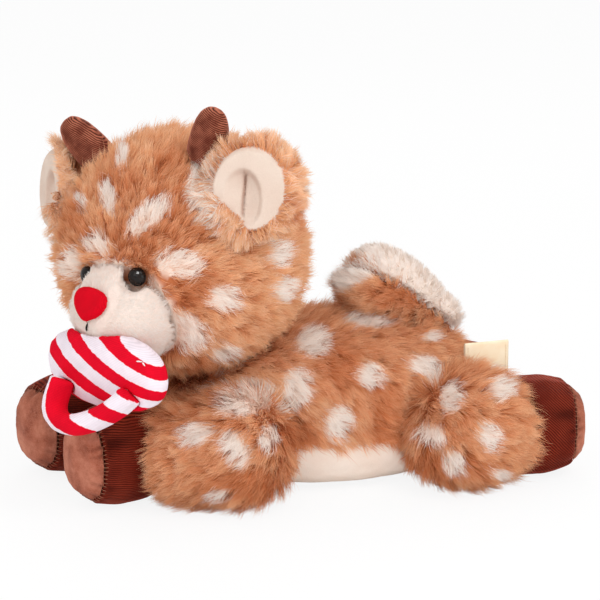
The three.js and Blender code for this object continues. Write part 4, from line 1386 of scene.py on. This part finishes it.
m = Nodes("eye_gloss")
gloss = m.ramp(m.noise(500.0, 2.0), (0.3, (0.006, 0.005, 0.005)), (0.7, (0.016, 0.010, 0.008)))
m.set(Base_Color=gloss, Roughness=0.04, Specular_IOR_Level=0.2)
RADIUS, DOME, RIM, SHANK = 5 * MM, 4.3 * MM, 1.0 * MM, 1.7 * MM
outline = [
    (-11 * MM, 0), (-11 * MM, SHANK), (0.1 * MM, SHANK), (0.1 * MM, RADIUS * 0.96), (0.4 * MM, RADIUS)
]
for a in np.linspace(0, math.pi / 2, 15)[:-1]:
    outline.append((RIM + (DOME - RIM) * math.sin(a), RADIUS * math.cos(a)))
outline.append((DOME, 0))
for side, (at, out) in EYES.items():
    at = np.array(at) * MM
    turned(f"eye_{side}_dome", at, out, outline, m.mat, "head", [f"eye_{side}"])

# The washers and the pacifier's magnet keep their CAD shape.
WASHER = plain_material("washer_plastic", (0.72, 0.72, 0.70), (0.82, 0.82, 0.80), 0.4)
METAL = plain_material("magnet_metal", (0.42, 0.42, 0.43), (0.62, 0.62, 0.63), 0.3, 1.0)
for node, mat in (
    ("eye_washer_left", WASHER), ("eye_washer_right", WASHER), ("pacifier_magnet", METAL)
):
    NODE[node].data.materials.clear()
    NODE[node].data.materials.append(mat)
# The muzzle's magnet has rounded edges, which the curve of the cloth clears.
DISC_AT = HEAD_AT + (65.87 * HEAD_X - 36 * HEAD_Z) * MM
DISC = [
    (-1.5, 0), (-1.5, 4.2), (-1.1, 4.9), (-0.5, 5.2), (0.3, 5.2), (0.9, 4.8), (1.3, 4.0), (1.3, 0)
]
outline = [(along * MM, wide * MM) for along, wide in DISC]
turned(
    "muzzle_magnet_disc", DISC_AT, HEAD_X, outline, METAL, "head", ["muzzle_magnet"]
)

# Camera, floor and light

scene = bpy.context.scene
camera = bpy.data.objects.new("camera", bpy.data.cameras.new("camera"))
scene.collection.objects.link(camera)
camera.data.sensor_width = SENSOR
camera.data.lens = SENSOR * DISTANCE / PIXEL / FRAME
camera.data.clip_start = 0.05
camera.data.clip_end = 50
camera.matrix_world = Matrix(
    [[RIGHT[i], UP[i], BACK[i], EYE[i]] for i in range(3)] + [[0, 0, 0, 1]]
)
scene.camera = camera
scene.view_settings.view_transform = "Standard"

ground = [(-6, -6, -0.0004), (6, -6, -0.0004), (6, 6, -0.0004), (-6, 6, -0.0004)]
floor = new_object("floor", mesh_of("floor", ground, [(0, 1, 2, 3)]))

# The camera alone sees the floor and the world as plain white.
m = Nodes("floor")
seen = m.put("ShaderNodeLightPath").outputs["Is Camera Ray"]
glow = m.put("ShaderNodeEmission", {"Color": (1, 1, 1), "Strength": 1.0}).outputs[0]
m.set(Base_Color=m.ramp(m.noise(3.0), (0, (0.92, 0.92, 0.92)), (1, (0.95, 0.95, 0.95))))
m.set(Roughness=0.9)
m.show(m.mix_shaders(m.math("MULTIPLY", seen, 0.88), m.shader.outputs[0], glow))
floor.data.materials.append(m.mat)

world = bpy.data.worlds.new("world")
world.use_nodes = True
scene.world = world
m = Nodes.__new__(Nodes)
m.tree = world.node_tree
sky = m.tree.nodes["Background"]
seen = m.put("ShaderNodeLightPath").outputs["Is Camera Ray"]
m.join((1, 1, 1), sky.inputs["Color"])
m.join(m.math("MULTIPLY_ADD", seen, 0.18, 0.82), sky.inputs["Strength"])


def lamp(name, at, size, power, lights=True):
    data = bpy.data.lights.new(name, "AREA")
    data.size = size
    data.energy = power
    obj = bpy.data.objects.new(name, data)
    scene.collection.objects.link(obj)
    obj.visible_diffuse = lights
    place = AIM + np.array(at)
    obj.location = place
    obj.rotation_euler = Vector(AIM - place).to_track_quat("-Z", "Y").to_euler()


lamp("key", (0.36, -0.94, 1.2), 0.55, 5.7)
lamp("glint", (-0.366, -0.500, 0.502), 0.3, 7.0, False)
lamp("left", (-1.0, -0.8, 0.6), 0.9, 2.9)
lamp("low", (0.5, -1.4, 0.1), 0.9, 4.1)
lamp("rim", (0.3, 1.1, 1.1), 0.8, 2.5)
